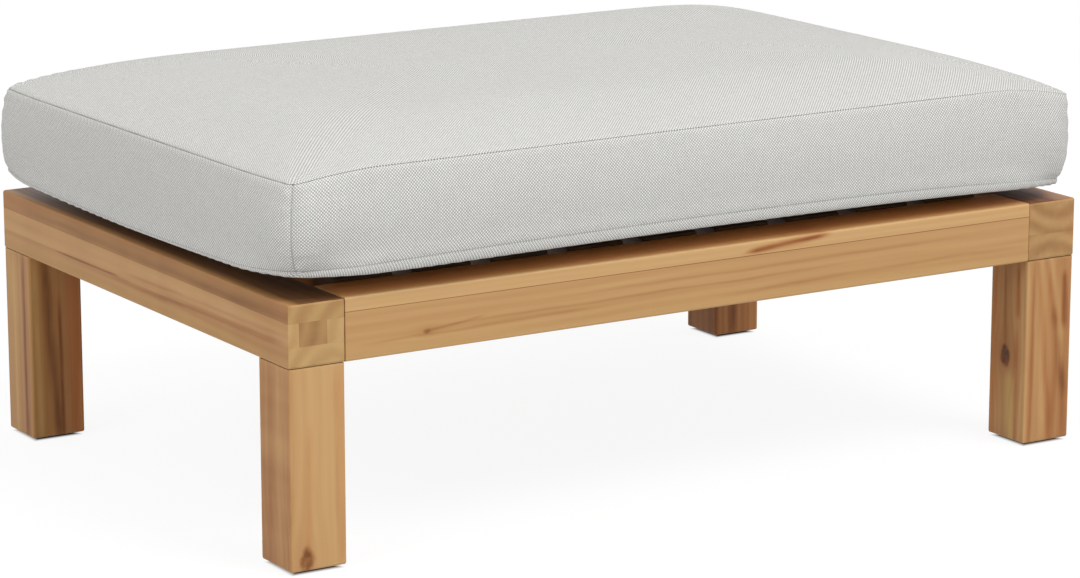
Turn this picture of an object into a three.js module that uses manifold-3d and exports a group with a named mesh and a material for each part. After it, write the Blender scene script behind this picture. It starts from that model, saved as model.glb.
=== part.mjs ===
// Outdoor ottoman footstool: an acacia frame with a slatted deck, and a loose foam cushion in a zipped cover.
// Millimetres. X runs along the long side, Y to the back, Z up. The origin is on the floor under the middle.
import * as THREE from 'three';
import { mergeVertices } from 'three/addons/utils/BufferGeometryUtils.js';
import Module from 'manifold-3d';

const wasm = await Module();
wasm.setup();

// Frame: two rails run front to back over the legs, and two long rails stand between them
const frameLength = 1000;
const frameDepth = 675;
const frameHeight = 280;
const railHeight = 66;
const railWidth = 65;
const legSetback = 0.5; // of a leg's faces behind the faces of the rail above
const legWidth = railWidth - 2 * legSetback;
const arrisEase = 2.5;
const seatGap = 0.3; // between pieces that touch
const overrun = 2; // by which a cut passes the face that it opens

// Joinery: stub tenons on the long rails, and a pair of dowels on each leg
const tenonLength = 20;
const tenonHeight = 36;
const tenonThickness = 26;
const dowelDiameter = 12;
const dowelLength = 60;
const dowelSpacing = 32;
const dowelChamfer = 1;

// Steel angle in each inner corner, with its coach screws
const bracketArm = 36;
const bracketHeight = 40;
const bracketThickness = 3;
const bracketBend = 5;
const bracketBelowRailTop = 22;
const screwFromCorner = 21;
const screwSpacing = 20;
const screwShank = 5;
const screwLength = 28;
const screwPoint = 5;
const screwHeadAcross = 8;
const screwHeadHeight = 3.6;

// Nail-in glide under each leg
const glideHeight = 3;
const glideDiameter = 30;
const glideEdge = 1;
const glidePin = 5;
const glidePinLength = 14;

// Slatted deck on two cleats
const slatCount = 9;
const slatWidth = 70;
const slatThickness = 18;
const slatProud = 3; // above the rail tops
const slatEndGap = 2;
const slatHole = 4.5;
const countersinkDiameter = 9;
const countersinkDepth = 2.4;
const cleatWidth = 25;
const cleatHeight = 28;
const cleatFromBracket = 2;

// Cushion
const cushionOverhang = 4; // beyond the outer faces of the frame
const boxingHeight = 92; // between the two seams
const topSeamInset = 4;
const bottomSeamInset = 5.5;
const bandInset = 4.6; // of the upright band low on the boxing, which holds the zip
const crownRise = 22;
const crownReach = 135;
const undersideDrop = 35;
const undersideReach = 108;
const topEndDrop = 11; // by which the top seam sits lower along the short sides
const bottomEndDrop = 18;
const cornerPull = 13; // by which the seams draw in at the corners
const cornerReach = 150;
const cornerRadius = 36;
const seamCornerRadius = 14;
const coverThickness = 1.2;

// Zip in the back of the boxing, closed, with its slider at the right-hand end
const zipFromStraightEnd = 8;
const zipSlotHeight = 8;
const zipRidgeWidth = 4.4;
const zipRidgeHeight = 0.6;
const sliderLength = 11;
const sliderWidth = 8.6;
const sliderPlate = 1;
const sliderEase = 0.25;
const sliderLip = 0.9;
const sliderFromEnd = 1.5;
const bridgeWidth = 2;
const bridgeThickness = 0.7;
const bridgeSpan = 8.4;
const pullLength = 30;
const pullWidth = 7;
const pullThickness = 1.2;
const pullEndWall = 0.6; // beyond the middle of the bar that hangs in the bridge
const pullWindowLength = 6;
const pullGripHole = 3;

// Shape of the cushion, as shares and counts
const crownFullness = 2;
const crownPullFade = 2; // how fast the pull and the drop of the top seam fade up the crown
const undersideFullness = 1.6;
const cornerFade = 2;
const crownRingShares = [1, 0.62, 0.34, 0.13, 0];
const boxingRingShares = [
  { heightShare: 0.93, seamShare: 0.5 },
  { heightShare: 0.8, seamShare: 0.1 },
  { heightShare: 0.64, seamShare: 0 },
];
const bandRingShares = [
  { heightShare: 0.36, seamShare: 0.1 },
  { heightShare: 0.12, seamShare: 0.6 },
];
const undersideRingShares = [0, 0.12, 0.4, 1];
const sidePointShares = [0.35, 1];
const longestReachShare = 0.75; // of the half side, on the inner rings
const innerRoundShare = 0.3; // by how much of its inset a ring's corners are rounder
const cornerSteps = 3;
const roundSegments = 12;
const glideSegments = 16;
const shankSegments = 8;
const headSides = 6;
const easeSteps = 3;
const bendSteps = 3;
const pullSteps = 6;
const boxGrid = 3;

// Places that follow from the sizes above
const railTop = frameHeight;
const railBottom = frameHeight - railHeight;
const innerLength = frameLength - 2 * railWidth;
const innerDepth = frameDepth - 2 * railWidth;
const longRailLength = innerLength - 2 * seatGap;
const legBottom = glideHeight + seatGap;
const legLength = railBottom - seatGap - legBottom;
const railCentreX = frameLength / 2 - railWidth / 2;
const railCentreY = frameDepth / 2 - railWidth / 2;
const railCentreZ = railTop - railHeight / 2;
const deckTop = railTop + slatProud;
const bracketCentreZ = railTop - bracketBelowRailTop - bracketHeight / 2;
const holeDepth = screwLength - bracketThickness + seatGap;
const dowelTopInRail = dowelLength / 2 + seatGap - railHeight / 2; // from the middle of the rail
const cushionBottom = deckTop + seatGap;
const bottomSeamZ = cushionBottom + undersideDrop;
const topSeamZ = bottomSeamZ + boxingHeight;

// Finishes
const acacia = () => new THREE.MeshStandardMaterial({ color: 0xc4935f, roughness: 0.5, metalness: 0 });
const beech = () => new THREE.MeshStandardMaterial({ color: 0xd9bd92, roughness: 0.6, metalness: 0 });
const fabric = () => new THREE.MeshStandardMaterial({ color: 0xd2d0ca, roughness: 0.92, metalness: 0 });
const foam = () => new THREE.MeshStandardMaterial({ color: 0xe6e2d2, roughness: 0.95, metalness: 0 });
const zinc = () => new THREE.MeshStandardMaterial({ color: 0xb9bcc0, roughness: 0.38, metalness: 1 });
const plastic = () => new THREE.MeshStandardMaterial({ color: 0x33312f, roughness: 0.6, metalness: 0 });
const tape = () => new THREE.MeshStandardMaterial({ color: 0xbdbab3, roughness: 0.8, metalness: 0 });

// Solids
function toSolid(geometry) {
  const bare = geometry.clone();
  for (const name of ['normal', 'uv']) bare.deleteAttribute(name);
  const merged = mergeVertices(bare);
  const corners = merged.index.array;
  const kept = [];
  for (let i = 0; i < corners.length; i += 3) {
    const [a, b, c] = corners.slice(i, i + 3);
    if (a !== b && b !== c && c !== a) kept.push(a, b, c);
  }
  return new wasm.Manifold(new wasm.Mesh({
    numProp: 3,
    vertProperties: new Float32Array(merged.attributes.position.array),
    triVerts: new Uint32Array(kept),
  }));
}

function toGeometry(solid) {
  const mesh = solid.getMesh();
  const geometry = new THREE.BufferGeometry();
  geometry.setAttribute('position', new THREE.BufferAttribute(new Float32Array(mesh.vertProperties), 3));
  geometry.setIndex(new THREE.BufferAttribute(new Uint32Array(mesh.triVerts), 1));
  geometry.computeVertexNormals();
  return geometry;
}

function carve(geometry, { add = [], cut = [] }) {
  let solid = toSolid(geometry);
  for (const piece of add) solid = solid.add(toSolid(piece));
  for (const piece of cut) solid = solid.subtract(toSolid(piece));
  return toGeometry(solid);
}

const mirrorSigns = [-1, 1];

// A box whose twelve arrises and eight corners are eased; its grid lines lie where the easing starts
function easedBox(width, depth, height, ease) {
  const geometry = new THREE.BoxGeometry(width, depth, height, boxGrid, boxGrid, boxGrid);
  const half = new THREE.Vector3(width, depth, height).divideScalar(2);
  const inner = half.clone().subScalar(ease);
  const outermost = inner.clone().negate();
  const position = geometry.attributes.position;
  const point = new THREE.Vector3();
  for (let i = 0; i < position.count; i++) {
    point.fromBufferAttribute(position, i);
    for (const axis of ['x', 'y', 'z']) {
      const onGridLine = Math.abs(point[axis]) * 2 < half[axis];
      if (onGridLine) point[axis] = Math.sign(point[axis]) * inner[axis];
    }
    const core = point.clone().clamp(outermost, inner);
    point.sub(core).setLength(ease).add(core);
    position.setXYZ(i, point.x, point.y, point.z);
  }
  return geometry;
}

// A bar along X with eased long arrises and square ends, for pieces that butt against another
function easedBar(length, depth, height, ease) {
  const x = height / 2;
  const y = depth / 2;
  const section = new THREE.Shape();
  section.moveTo(x - ease, -y);
  section.absarc(x - ease, ease - y, ease, -Math.PI / 2, 0);
  section.absarc(x - ease, y - ease, ease, 0, Math.PI / 2);
  section.absarc(ease - x, y - ease, ease, Math.PI / 2, Math.PI);
  section.absarc(ease - x, ease - y, ease, Math.PI, 1.5 * Math.PI);
  const extrusion = { depth: length, bevelEnabled: false, curveSegments: easeSteps };
  return new THREE.ExtrudeGeometry(section, extrusion).translate(0, 0, -length / 2).rotateY(Math.PI / 2);
}

function block(width, depth, height, x, y, z) {
  return new THREE.BoxGeometry(width, depth, height).translate(x, y, z);
}

// A round rod along Z from one height to another
function rod(diameter, low, high, segments = roundSegments) {
  const cylinder = new THREE.CylinderGeometry(diameter / 2, diameter / 2, high - low, segments);
  return cylinder.rotateX(Math.PI / 2).translate(0, 0, (low + high) / 2);
}

// A solid of revolution about Z from [radius, height] pairs that start and end on the axis
function turned(pairs, segments = roundSegments) {
  const points = pairs.map(([radius, height]) => new THREE.Vector2(radius, height));
  return new THREE.LatheGeometry(points, segments).rotateX(Math.PI / 2);
}

function part(name, geometry, material, [x, y, z] = [0, 0, 0], turn = 0) {
  const mesh = new THREE.Mesh(geometry, material);
  mesh.name = name;
  mesh.position.set(x, y, z);
  mesh.rotation.z = turn;
  return mesh;
}

// Frame pieces
function legGeometry() {
  const blank = easedBox(legWidth, legWidth, legLength + arrisEase, arrisEase).translate(0, 0, arrisEase / 2);
  const top = legLength / 2;
  const trim = arrisEase + overrun;
  const squareTop = block(legWidth + overrun, legWidth + overrun, trim, 0, 0, top + trim / 2);
  const dowelHoles = mirrorSigns.map((side) => {
    const hole = rod(dowelDiameter + 2 * seatGap, top - dowelLength / 2 - seatGap, top + overrun);
    return hole.translate(0, side * dowelSpacing / 2, 0);
  });
  const pinHole = rod(glidePin + 2 * seatGap, -top - overrun, glidePinLength + 2 * seatGap - top);
  return carve(blank, { cut: [squareTop, ...dowelHoles, pinHole] });
}

// Seen from the left-hand rail: its inner face is at +X
function endRailGeometry() {
  const face = railWidth / 2;
  const cuts = [];
  for (const side of mirrorSigns) {
    const jointY = side * railCentreY;
    const mortiseDepth = tenonLength + 2 * seatGap;
    cuts.push(block(
      mortiseDepth + overrun, tenonThickness + 2 * seatGap, tenonHeight + 2 * seatGap,
      face - (mortiseDepth - overrun) / 2, jointY, 0,
    ));
    for (const offset of mirrorSigns) {
      const hole = rod(dowelDiameter + 2 * seatGap, -railHeight / 2 - overrun, dowelTopInRail);
      cuts.push(hole.translate(0, jointY + offset * dowelSpacing / 2, 0));
      const pilot = rod(screwShank + 2 * seatGap, face - holeDepth, face + overrun);
      const pilotY = side * (innerDepth / 2 - screwFromCorner);
      const pilotZ = bracketCentreZ - railCentreZ + offset * screwSpacing / 2;
      cuts.push(pilot.rotateY(Math.PI / 2).translate(0, pilotY, pilotZ));
    }
  }
  return carve(easedBox(railWidth, frameDepth, railHeight, arrisEase), { cut: cuts });
}

// Seen from the front rail: its inner face is at +Y
function longRailGeometry() {
  const face = railWidth / 2;
  const tenons = mirrorSigns.map((side) => block(
    tenonLength + overrun, tenonThickness, tenonHeight,
    side * (longRailLength / 2 + (tenonLength - overrun) / 2), 0, 0,
  ));
  const pilots = [];
  for (const side of mirrorSigns) {
    for (const offset of mirrorSigns) {
      const pilot = rod(screwShank + 2 * seatGap, -face - overrun, holeDepth - face).rotateX(Math.PI / 2);
      const pilotZ = bracketCentreZ - railCentreZ + offset * screwSpacing / 2;
      pilots.push(pilot.translate(side * (innerLength / 2 - screwFromCorner), 0, pilotZ));
    }
  }
  return carve(easedBar(longRailLength, railWidth, railHeight, arrisEase), { add: tenons, cut: pilots });
}

function dowelGeometry() {
  const radius = dowelDiameter / 2;
  const end = dowelLength / 2;
  return turned([
    [0, -end], [radius - dowelChamfer, -end], [radius, dowelChamfer - end],
    [radius, end - dowelChamfer], [radius - dowelChamfer, end], [0, end],
  ]);
}

function glideGeometry() {
  const radius = glideDiameter / 2;
  const pin = glidePin / 2;
  const tip = glideHeight + glidePinLength;
  return turned([
    [0, 0], [radius - glideEdge, 0], [radius, glideEdge], [radius, glideHeight],
    [pin, glideHeight], [pin, tip - pin], [0, tip],
  ], glideSegments);
}

// Bent angle whose arms run along +X and +Y from the inner corner of the rails
function bracketGeometry() {
  const inside = bracketThickness;
  const outline = new THREE.Shape();
  outline.moveTo(bracketBend, 0);
  outline.lineTo(bracketArm, 0);
  outline.lineTo(bracketArm, inside);
  outline.lineTo(bracketBend, inside);
  outline.absarc(bracketBend, bracketBend, bracketBend - inside, -Math.PI / 2, -Math.PI, true);
  outline.lineTo(inside, bracketArm);
  outline.lineTo(0, bracketArm);
  outline.lineTo(0, bracketBend);
  outline.absarc(bracketBend, bracketBend, bracketBend, Math.PI, 1.5 * Math.PI);
  const plate = new THREE.ExtrudeGeometry(outline, {
    depth: bracketHeight, bevelEnabled: false, curveSegments: bendSteps,
  }).translate(0, 0, -bracketHeight / 2);
  const holes = [];
  for (const offset of mirrorSigns) {
    const hole = () => rod(screwShank + 2 * seatGap, -overrun, bracketThickness + overrun);
    const z = offset * screwSpacing / 2;
    holes.push(hole().rotateX(-Math.PI / 2).translate(screwFromCorner, 0, z));
    holes.push(hole().rotateY(Math.PI / 2).translate(0, screwFromCorner, z));
  }
  return carve(plate, { cut: holes });
}

// Coach screw along Z: its head stands on z = 0 and its shank runs down
function screwGeometry() {
  const radius = screwShank / 2;
  const headRadius = screwHeadAcross / 2 / Math.cos(Math.PI / headSides);
  const head = new THREE.CylinderGeometry(headRadius, headRadius, screwHeadHeight, headSides)
    .rotateX(Math.PI / 2).translate(0, 0, screwHeadHeight / 2);
  const shank = turned([
    [0, -screwLength], [radius, screwPoint - screwLength],
    [radius, screwHeadHeight / 2], [0, screwHeadHeight / 2],
  ], shankSegments);
  return carve(head, { add: [shank] });
}

function slatGeometry(length) {
  const holeFromEnd = cleatWidth / 2 - slatEndGap;
  const cuts = [];
  for (const side of mirrorSigns) {
    const y = side * (length / 2 - holeFromEnd);
    cuts.push(rod(slatHole, -slatThickness / 2 - overrun, slatThickness / 2 + overrun).translate(0, y, 0));
    const rim = countersinkDiameter / 2;
    const top = slatThickness / 2;
    cuts.push(turned([
      [0, top - countersinkDepth], [slatHole / 2, top - countersinkDepth], [rim, top], [rim, top + overrun],
      [0, top + overrun],
    ]).translate(0, y, 0));
  }
  return carve(easedBox(slatWidth, length, slatThickness, arrisEase), { cut: cuts });
}

// Cushion: rings run round the plan. Each ring says how far in it lies and how high, what share of the
// corners' pull it takes, how far its short sides drop, and the radius of its corners
function cushionSection() {
  const rings = [];
  for (const share of crownRingShares) {
    const remaining = 1 - share;
    rings.push({
      inset: topSeamInset + crownReach * share,
      z: topSeamZ + crownRise * (1 - remaining ** crownFullness),
      pulled: remaining ** crownPullFade,
      drop: topEndDrop * remaining ** crownPullFade,
      radius: seamCornerRadius + crownReach * share * innerRoundShare,
    });
  }
  const onBoxing = (inset, { heightShare, seamShare }) => ({
    inset,
    z: bottomSeamZ + boxingHeight * heightShare,
    pulled: seamShare,
    drop: bottomEndDrop + (topEndDrop - bottomEndDrop) * heightShare,
    radius: cornerRadius + (seamCornerRadius - cornerRadius) * seamShare,
  });
  for (const shares of boxingRingShares) rings.push(onBoxing(topSeamInset * shares.seamShare, shares));
  for (const shares of bandRingShares) rings.push(onBoxing(bandInset, shares));
  for (const share of undersideRingShares) {
    const remaining = (1 - share) ** undersideFullness;
    rings.push({
      inset: bottomSeamInset + undersideReach * share,
      z: cushionBottom + undersideDrop * remaining,
      pulled: remaining,
      drop: bottomEndDrop * remaining,
      radius: seamCornerRadius + undersideReach * share * innerRoundShare,
    });
  }
  return rings;
}

// The same section moved inwards by a distance, square to itself
function offsetSection(rings, distance) {
  const level = new THREE.Vector2(1, 0);
  return rings.map((ring, i) => {
    const before = rings[i - 1];
    const after = rings[i + 1];
    const heading = (a, b) => new THREE.Vector2(b.inset - a.inset, b.z - a.z).normalize();
    const arriving = before ? heading(before, ring) : level.clone().negate();
    const leaving = after ? heading(ring, after) : level.clone();
    const along = arriving.clone().add(leaving).normalize();
    const inward = new THREE.Vector2(-along.y, along.x);
    const reach = distance / inward.dot(new THREE.Vector2(-arriving.y, arriving.x));
    return {
      ...ring,
      inset: ring.inset + inward.x * reach,
      z: ring.z + inward.y * reach,
      radius: ring.radius - distance,
    };
  });
}

// The points of one ring, counter-clockwise from the middle of the front
function ringPoints(ring) {
  const halfX = frameLength / 2 + cushionOverhang - ring.inset;
  const halfY = frameDepth / 2 + cushionOverhang - ring.inset;
  const { radius } = ring;
  const arcHalf = radius * Math.PI / 4;
  const closeness = (fromCorner) => Math.max(0, 1 - fromCorner / (cornerReach + arcHalf)) ** cornerFade;
  const points = [];
  const place = (x, y, fromCorner, onShortSide) => {
    const near = closeness(fromCorner);
    const pull = cornerPull * near * ring.pulled;
    const drop = ring.drop * (onShortSide ? 1 : near);
    points.push(new THREE.Vector3(x - Math.sign(x) * pull, y - Math.sign(y) * pull, ring.z - drop));
  };
  const corners = [[1, -1], [1, 1], [-1, 1], [-1, -1]];
  corners.forEach(([signX, signY], corner) => {
    const centreX = signX * (halfX - radius);
    const centreY = signY * (halfY - radius);
    const start = (corner - 1) * Math.PI / 2;
    for (let step = 0; step <= cornerSteps; step++) {
      const turn = step / cornerSteps;
      const angle = start + turn * Math.PI / 2;
      const fromCorner = Math.abs(turn - 1 / 2) * 2 * arcHalf;
      const shortHalf = signX * signY < 0 ? turn > 1 / 2 : turn < 1 / 2;
      place(centreX + radius * Math.cos(angle), centreY + radius * Math.sin(angle), fromCorner, shortHalf);
    }
    const onShortSide = corner % 2 === 0;
    const along = onShortSide ? [0, -signY] : [-signX, 0];
    const run = onShortSide ? halfY - radius : halfX - radius;
    const from = onShortSide ? [signX * halfX, centreY] : [centreX, signY * halfY];
    const stops = sidePointShares.map((share) => share * Math.min(cornerReach, run * longestReachShare));
    for (const stop of [...stops, run, ...stops.map((far) => 2 * run - far).reverse()]) {
      const fromCorner = arcHalf + Math.min(stop, 2 * run - stop);
      place(from[0] + along[0] * stop, from[1] + along[1] * stop, fromCorner, onShortSide);
    }
  });
  return points;
}

// A closed surface through the rings, capped by a fan at the top and at the bottom
function ringSurface(rings) {
  const rows = rings.map(ringPoints);
  const count = rows[0].length;
  const vertices = rows.flat();
  const triangles = [];
  for (let row = 0; row + 1 < rows.length; row++) {
    for (let i = 0; i < count; i++) {
      const next = (i + 1) % count;
      const [a, b] = [row * count + i, row * count + next];
      const [c, d] = [a + count, b + count];
      triangles.push(a, c, d, a, d, b);
    }
  }
  const last = (rows.length - 1) * count;
  for (let i = 1; i + 1 < count; i++) {
    triangles.push(0, i, i + 1);
    triangles.push(last, last + i + 1, last + i);
  }
  const geometry = new THREE.BufferGeometry().setFromPoints(vertices);
  geometry.setIndex(triangles);
  return geometry;
}

// Where the cushion's back is straight and upright, the zip lies
const bandY = frameDepth / 2 + cushionOverhang - bandInset;
const [bandHighShare, bandLowShare] = bandRingShares.map((ring) => ring.heightShare);
const bandZ = bottomSeamZ + boxingHeight * (bandHighShare + bandLowShare) / 2;
const straightHalf = frameLength / 2 + cushionOverhang - bandInset - cornerRadius - cornerReach;
const zipHalf = straightHalf - zipFromStraightEnd;
const sliderX = zipHalf - sliderFromEnd - sliderLength / 2;
const plateY = zipRidgeHeight + seatGap; // of the slider's inner face, from the cover's outer face
const barY = plateY + sliderPlate + seatGap + pullThickness / 2;

function coverGeometry() {
  const outer = cushionSection();
  const inner = ringSurface(offsetSection(outer, coverThickness));
  const slot = block(
    2 * zipHalf, 2 * coverThickness + overrun, zipSlotHeight,
    0, bandY + (overrun - coverThickness) / 2, bandZ,
  );
  const open = toSolid(ringSurface(outer)).subtract(toSolid(inner)).subtract(toSolid(slot));
  return toGeometry(open);
}

function coreGeometry() {
  const rings = offsetSection(cushionSection(), coverThickness + seatGap);
  return toGeometry(toSolid(ringSurface(rings)));
}

// The zip's own frame: X along the zip, Y out of the cover with its face at 0, Z across
function chainGeometry() {
  const half = zipSlotHeight / 2 - seatGap;
  const ridge = zipRidgeWidth / 2;
  const outline = new THREE.Shape([
    new THREE.Vector2(half, -coverThickness),
    new THREE.Vector2(half, 0),
    new THREE.Vector2(ridge, 0),
    new THREE.Vector2(ridge - zipRidgeHeight, zipRidgeHeight),
    new THREE.Vector2(zipRidgeHeight - ridge, zipRidgeHeight),
    new THREE.Vector2(-ridge, 0),
    new THREE.Vector2(-half, 0),
    new THREE.Vector2(-half, -coverThickness),
  ]);
  const length = 2 * (zipHalf - seatGap);
  const strip = new THREE.ExtrudeGeometry(outline, { depth: length, bevelEnabled: false });
  return toGeometry(toSolid(strip.translate(0, 0, -length / 2).rotateY(-Math.PI / 2)));
}

// The slider's outer wing: a plate with a lip on each side of the ridge, and the bridge that holds the pull
function sliderGeometry() {
  const plate = easedBox(sliderLength, sliderPlate, sliderWidth, sliderEase)
    .translate(0, plateY + sliderPlate / 2, 0);
  const lipLow = seatGap;
  const lipHigh = plateY + sliderPlate / 2;
  const lips = mirrorSigns.map((side) => block(
    sliderLength - sliderLip, lipHigh - lipLow, sliderLip,
    0, (lipLow + lipHigh) / 2, side * (sliderWidth / 2 - sliderLip),
  ));
  const inside = barY + pullThickness / 2 + seatGap;
  const outside = inside + bridgeThickness;
  const foot = plateY + sliderPlate / 2;
  const half = bridgeSpan / 2;
  const arch = new THREE.Shape([
    new THREE.Vector2(-half, foot),
    new THREE.Vector2(-half, inside),
    new THREE.Vector2(bridgeThickness - half, outside),
    new THREE.Vector2(half - bridgeThickness, outside),
    new THREE.Vector2(half, inside),
    new THREE.Vector2(half, foot),
    new THREE.Vector2(half - bridgeThickness, foot),
    new THREE.Vector2(half - bridgeThickness, inside),
    new THREE.Vector2(bridgeThickness - half, inside),
    new THREE.Vector2(bridgeThickness - half, foot),
  ]);
  const bridge = new THREE.ExtrudeGeometry(arch, { depth: bridgeWidth, bevelEnabled: false })
    .translate(0, 0, -bridgeWidth / 2);
  return carve(plate, { add: [...lips, bridge] });
}

// The pull lies along -X from the bar that hangs in the bridge, and turns about that bar
function pullGeometry() {
  const half = pullWidth / 2;
  const far = pullEndWall - pullLength;
  const outline = new THREE.Shape();
  outline.moveTo(pullEndWall, -half);
  outline.lineTo(pullEndWall, half);
  outline.lineTo(far + half, half);
  outline.absarc(far + half, 0, half, Math.PI / 2, 1.5 * Math.PI);
  outline.lineTo(pullEndWall, -half);
  const windowHalf = bridgeWidth / 2 + 2 * seatGap;
  const windowOutline = new THREE.Path([
    new THREE.Vector2(-pullEndWall, -windowHalf),
    new THREE.Vector2(-pullEndWall - pullWindowLength, -windowHalf),
    new THREE.Vector2(-pullEndWall - pullWindowLength, windowHalf),
    new THREE.Vector2(-pullEndWall, windowHalf),
  ]);
  const gripHole = new THREE.Path();
  gripHole.absarc(far + half, 0, pullGripHole / 2, 0, 2 * Math.PI);
  outline.holes.push(windowOutline, gripHole);
  const tab = new THREE.ExtrudeGeometry(outline, {
    depth: pullThickness, bevelEnabled: false, curveSegments: pullSteps,
  });
  return toGeometry(toSolid(tab.translate(0, 0, -pullThickness / 2).rotateX(Math.PI / 2)));
}

// Assembly
const sides = { left: -1, right: 1 };
const ends = { front: -1, back: 1 };

function frameGroup() {
  const group = new THREE.Group();
  const endRail = endRailGeometry();
  const longRail = longRailGeometry();
  const leg = legGeometry();
  const dowel = dowelGeometry();
  const glide = glideGeometry();
  for (const [side, signX] of Object.entries(sides)) {
    const turn = signX < 0 ? 0 : Math.PI;
    group.add(part(`end_rail_${side}`, endRail, acacia(), [signX * railCentreX, 0, railCentreZ], turn));
  }
  for (const [end, signY] of Object.entries(ends)) {
    const turn = signY < 0 ? 0 : Math.PI;
    group.add(part(`${end}_rail`, longRail, acacia(), [0, signY * railCentreY, railCentreZ], turn));
    for (const [side, signX] of Object.entries(sides)) {
      const corner = new THREE.Group();
      corner.position.set(signX * railCentreX, signY * railCentreY, 0);
      corner.add(part(`leg_${end}_${side}`, leg, acacia(), [0, 0, legBottom + legLength / 2]));
      corner.add(part(`foot_glide_${end}_${side}`, glide, plastic()));
      mirrorSigns.forEach((offset, i) => {
        const name = `leg_dowel_${end}_${side}_${i + 1}`;
        corner.add(part(name, dowel, beech(), [0, offset * dowelSpacing / 2, railBottom]));
      });
      group.add(corner);
    }
  }
  return group;
}

// The brackets' arms run along +X and +Y at the front left, and each next corner is a quarter turn further
function bracketGroup() {
  const group = new THREE.Group();
  const bracket = bracketGeometry();
  const screw = screwGeometry();
  const cornerX = innerLength / 2 - seatGap;
  const cornerY = innerDepth / 2 - seatGap;
  const corners = [['front_left', -1, -1], ['front_right', 1, -1], ['back_right', 1, 1], ['back_left', -1, 1]];
  corners.forEach(([name, signX, signY], quarter) => {
    const corner = new THREE.Group();
    corner.position.set(signX * cornerX, signY * cornerY, bracketCentreZ);
    corner.rotation.z = quarter * Math.PI / 2;
    corner.add(part(`corner_bracket_${name}`, bracket, zinc()));
    const headFace = bracketThickness + seatGap;
    const screwAt = screwFromCorner;
    mirrorSigns.forEach((offset, i) => {
      const z = offset * screwSpacing / 2;
      const alongX = part(`bracket_screw_${name}_${i + 1}`, screw, zinc(), [screwAt, headFace, z]);
      alongX.rotation.x = -Math.PI / 2;
      const alongY = part(`bracket_screw_${name}_${i + 3}`, screw, zinc(), [headFace, screwAt, z]);
      alongY.rotation.y = Math.PI / 2;
      corner.add(alongX, alongY);
    });
    group.add(corner);
  });
  return group;
}

function deckGroup() {
  const group = new THREE.Group();
  const slatLength = innerDepth - 2 * slatEndGap;
  const slat = slatGeometry(slatLength);
  const slatGap = (innerLength - slatCount * slatWidth) / (slatCount + 1);
  const slatZ = deckTop - slatThickness / 2;
  for (let i = 0; i < slatCount; i++) {
    const x = slatGap + slatWidth / 2 + i * (slatWidth + slatGap) - innerLength / 2;
    group.add(part(`slat_${i + 1}`, slat, acacia(), [x, 0, slatZ]));
  }
  const cleatLength = innerLength - 2 * (bracketArm + cleatFromBracket);
  const cleat = easedBox(cleatLength, cleatWidth, cleatHeight, arrisEase);
  const cleatY = innerDepth / 2 - seatGap - cleatWidth / 2;
  const cleatZ = deckTop - slatThickness - seatGap - cleatHeight / 2;
  for (const [end, signY] of Object.entries(ends)) {
    group.add(part(`${end}_cleat`, cleat, acacia(), [0, signY * cleatY, cleatZ]));
  }
  return group;
}

function cushionGroup() {
  const group = new THREE.Group();
  group.add(part('cushion_cover', coverGeometry(), fabric()));
  group.add(part('foam_core', coreGeometry(), foam()));
  const zip = new THREE.Group();
  zip.position.set(0, bandY, bandZ);
  zip.add(part('zip_chain', chainGeometry(), tape()));
  zip.add(part('zip_slider', sliderGeometry(), zinc(), [sliderX, 0, 0]));
  zip.add(part('zip_pull', pullGeometry(), zinc(), [sliderX, barY, 0]));
  group.add(zip);
  return group;
}

const ottoman = new THREE.Group();
ottoman.add(frameGroup(), bracketGroup(), deckGroup(), cushionGroup());
export default ottoman;
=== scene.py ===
"""Outdoor ottoman footstool: finishes, the dressed cushion, the zip, small screws, light and camera.

Metres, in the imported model's frame: X along the long side, Y to the back, Z up.
"""
import math

import bpy
import numpy as np
from mathutils import Matrix, Vector


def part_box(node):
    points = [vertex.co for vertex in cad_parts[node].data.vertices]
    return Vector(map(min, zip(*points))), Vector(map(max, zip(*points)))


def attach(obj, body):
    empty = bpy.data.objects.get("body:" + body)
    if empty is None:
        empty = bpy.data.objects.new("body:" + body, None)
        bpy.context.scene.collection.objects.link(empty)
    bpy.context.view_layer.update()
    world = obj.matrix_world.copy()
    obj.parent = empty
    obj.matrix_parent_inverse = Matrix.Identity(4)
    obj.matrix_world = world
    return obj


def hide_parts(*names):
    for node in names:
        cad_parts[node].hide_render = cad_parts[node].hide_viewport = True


MM = 0.001

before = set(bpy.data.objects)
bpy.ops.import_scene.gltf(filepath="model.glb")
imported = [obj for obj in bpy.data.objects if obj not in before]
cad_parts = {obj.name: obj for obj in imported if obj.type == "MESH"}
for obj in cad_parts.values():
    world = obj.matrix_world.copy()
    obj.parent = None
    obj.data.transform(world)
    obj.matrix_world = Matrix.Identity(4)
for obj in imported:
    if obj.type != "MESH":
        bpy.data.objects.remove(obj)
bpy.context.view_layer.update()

# Camera, at the photograph's viewing angle
VIEW_AZIMUTH = math.radians(-32.004)
VIEW_ELEVATION = math.radians(12.977)
VIEW_DISTANCE = 5.2254
VIEW_TARGET = Vector((0.4031, 0.6370, -0.0037))
FOCAL_PIXELS = 3940.15
PHOTO_WIDTH_PIXELS = 1080
SENSOR_MILLIMETRES = 36

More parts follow.
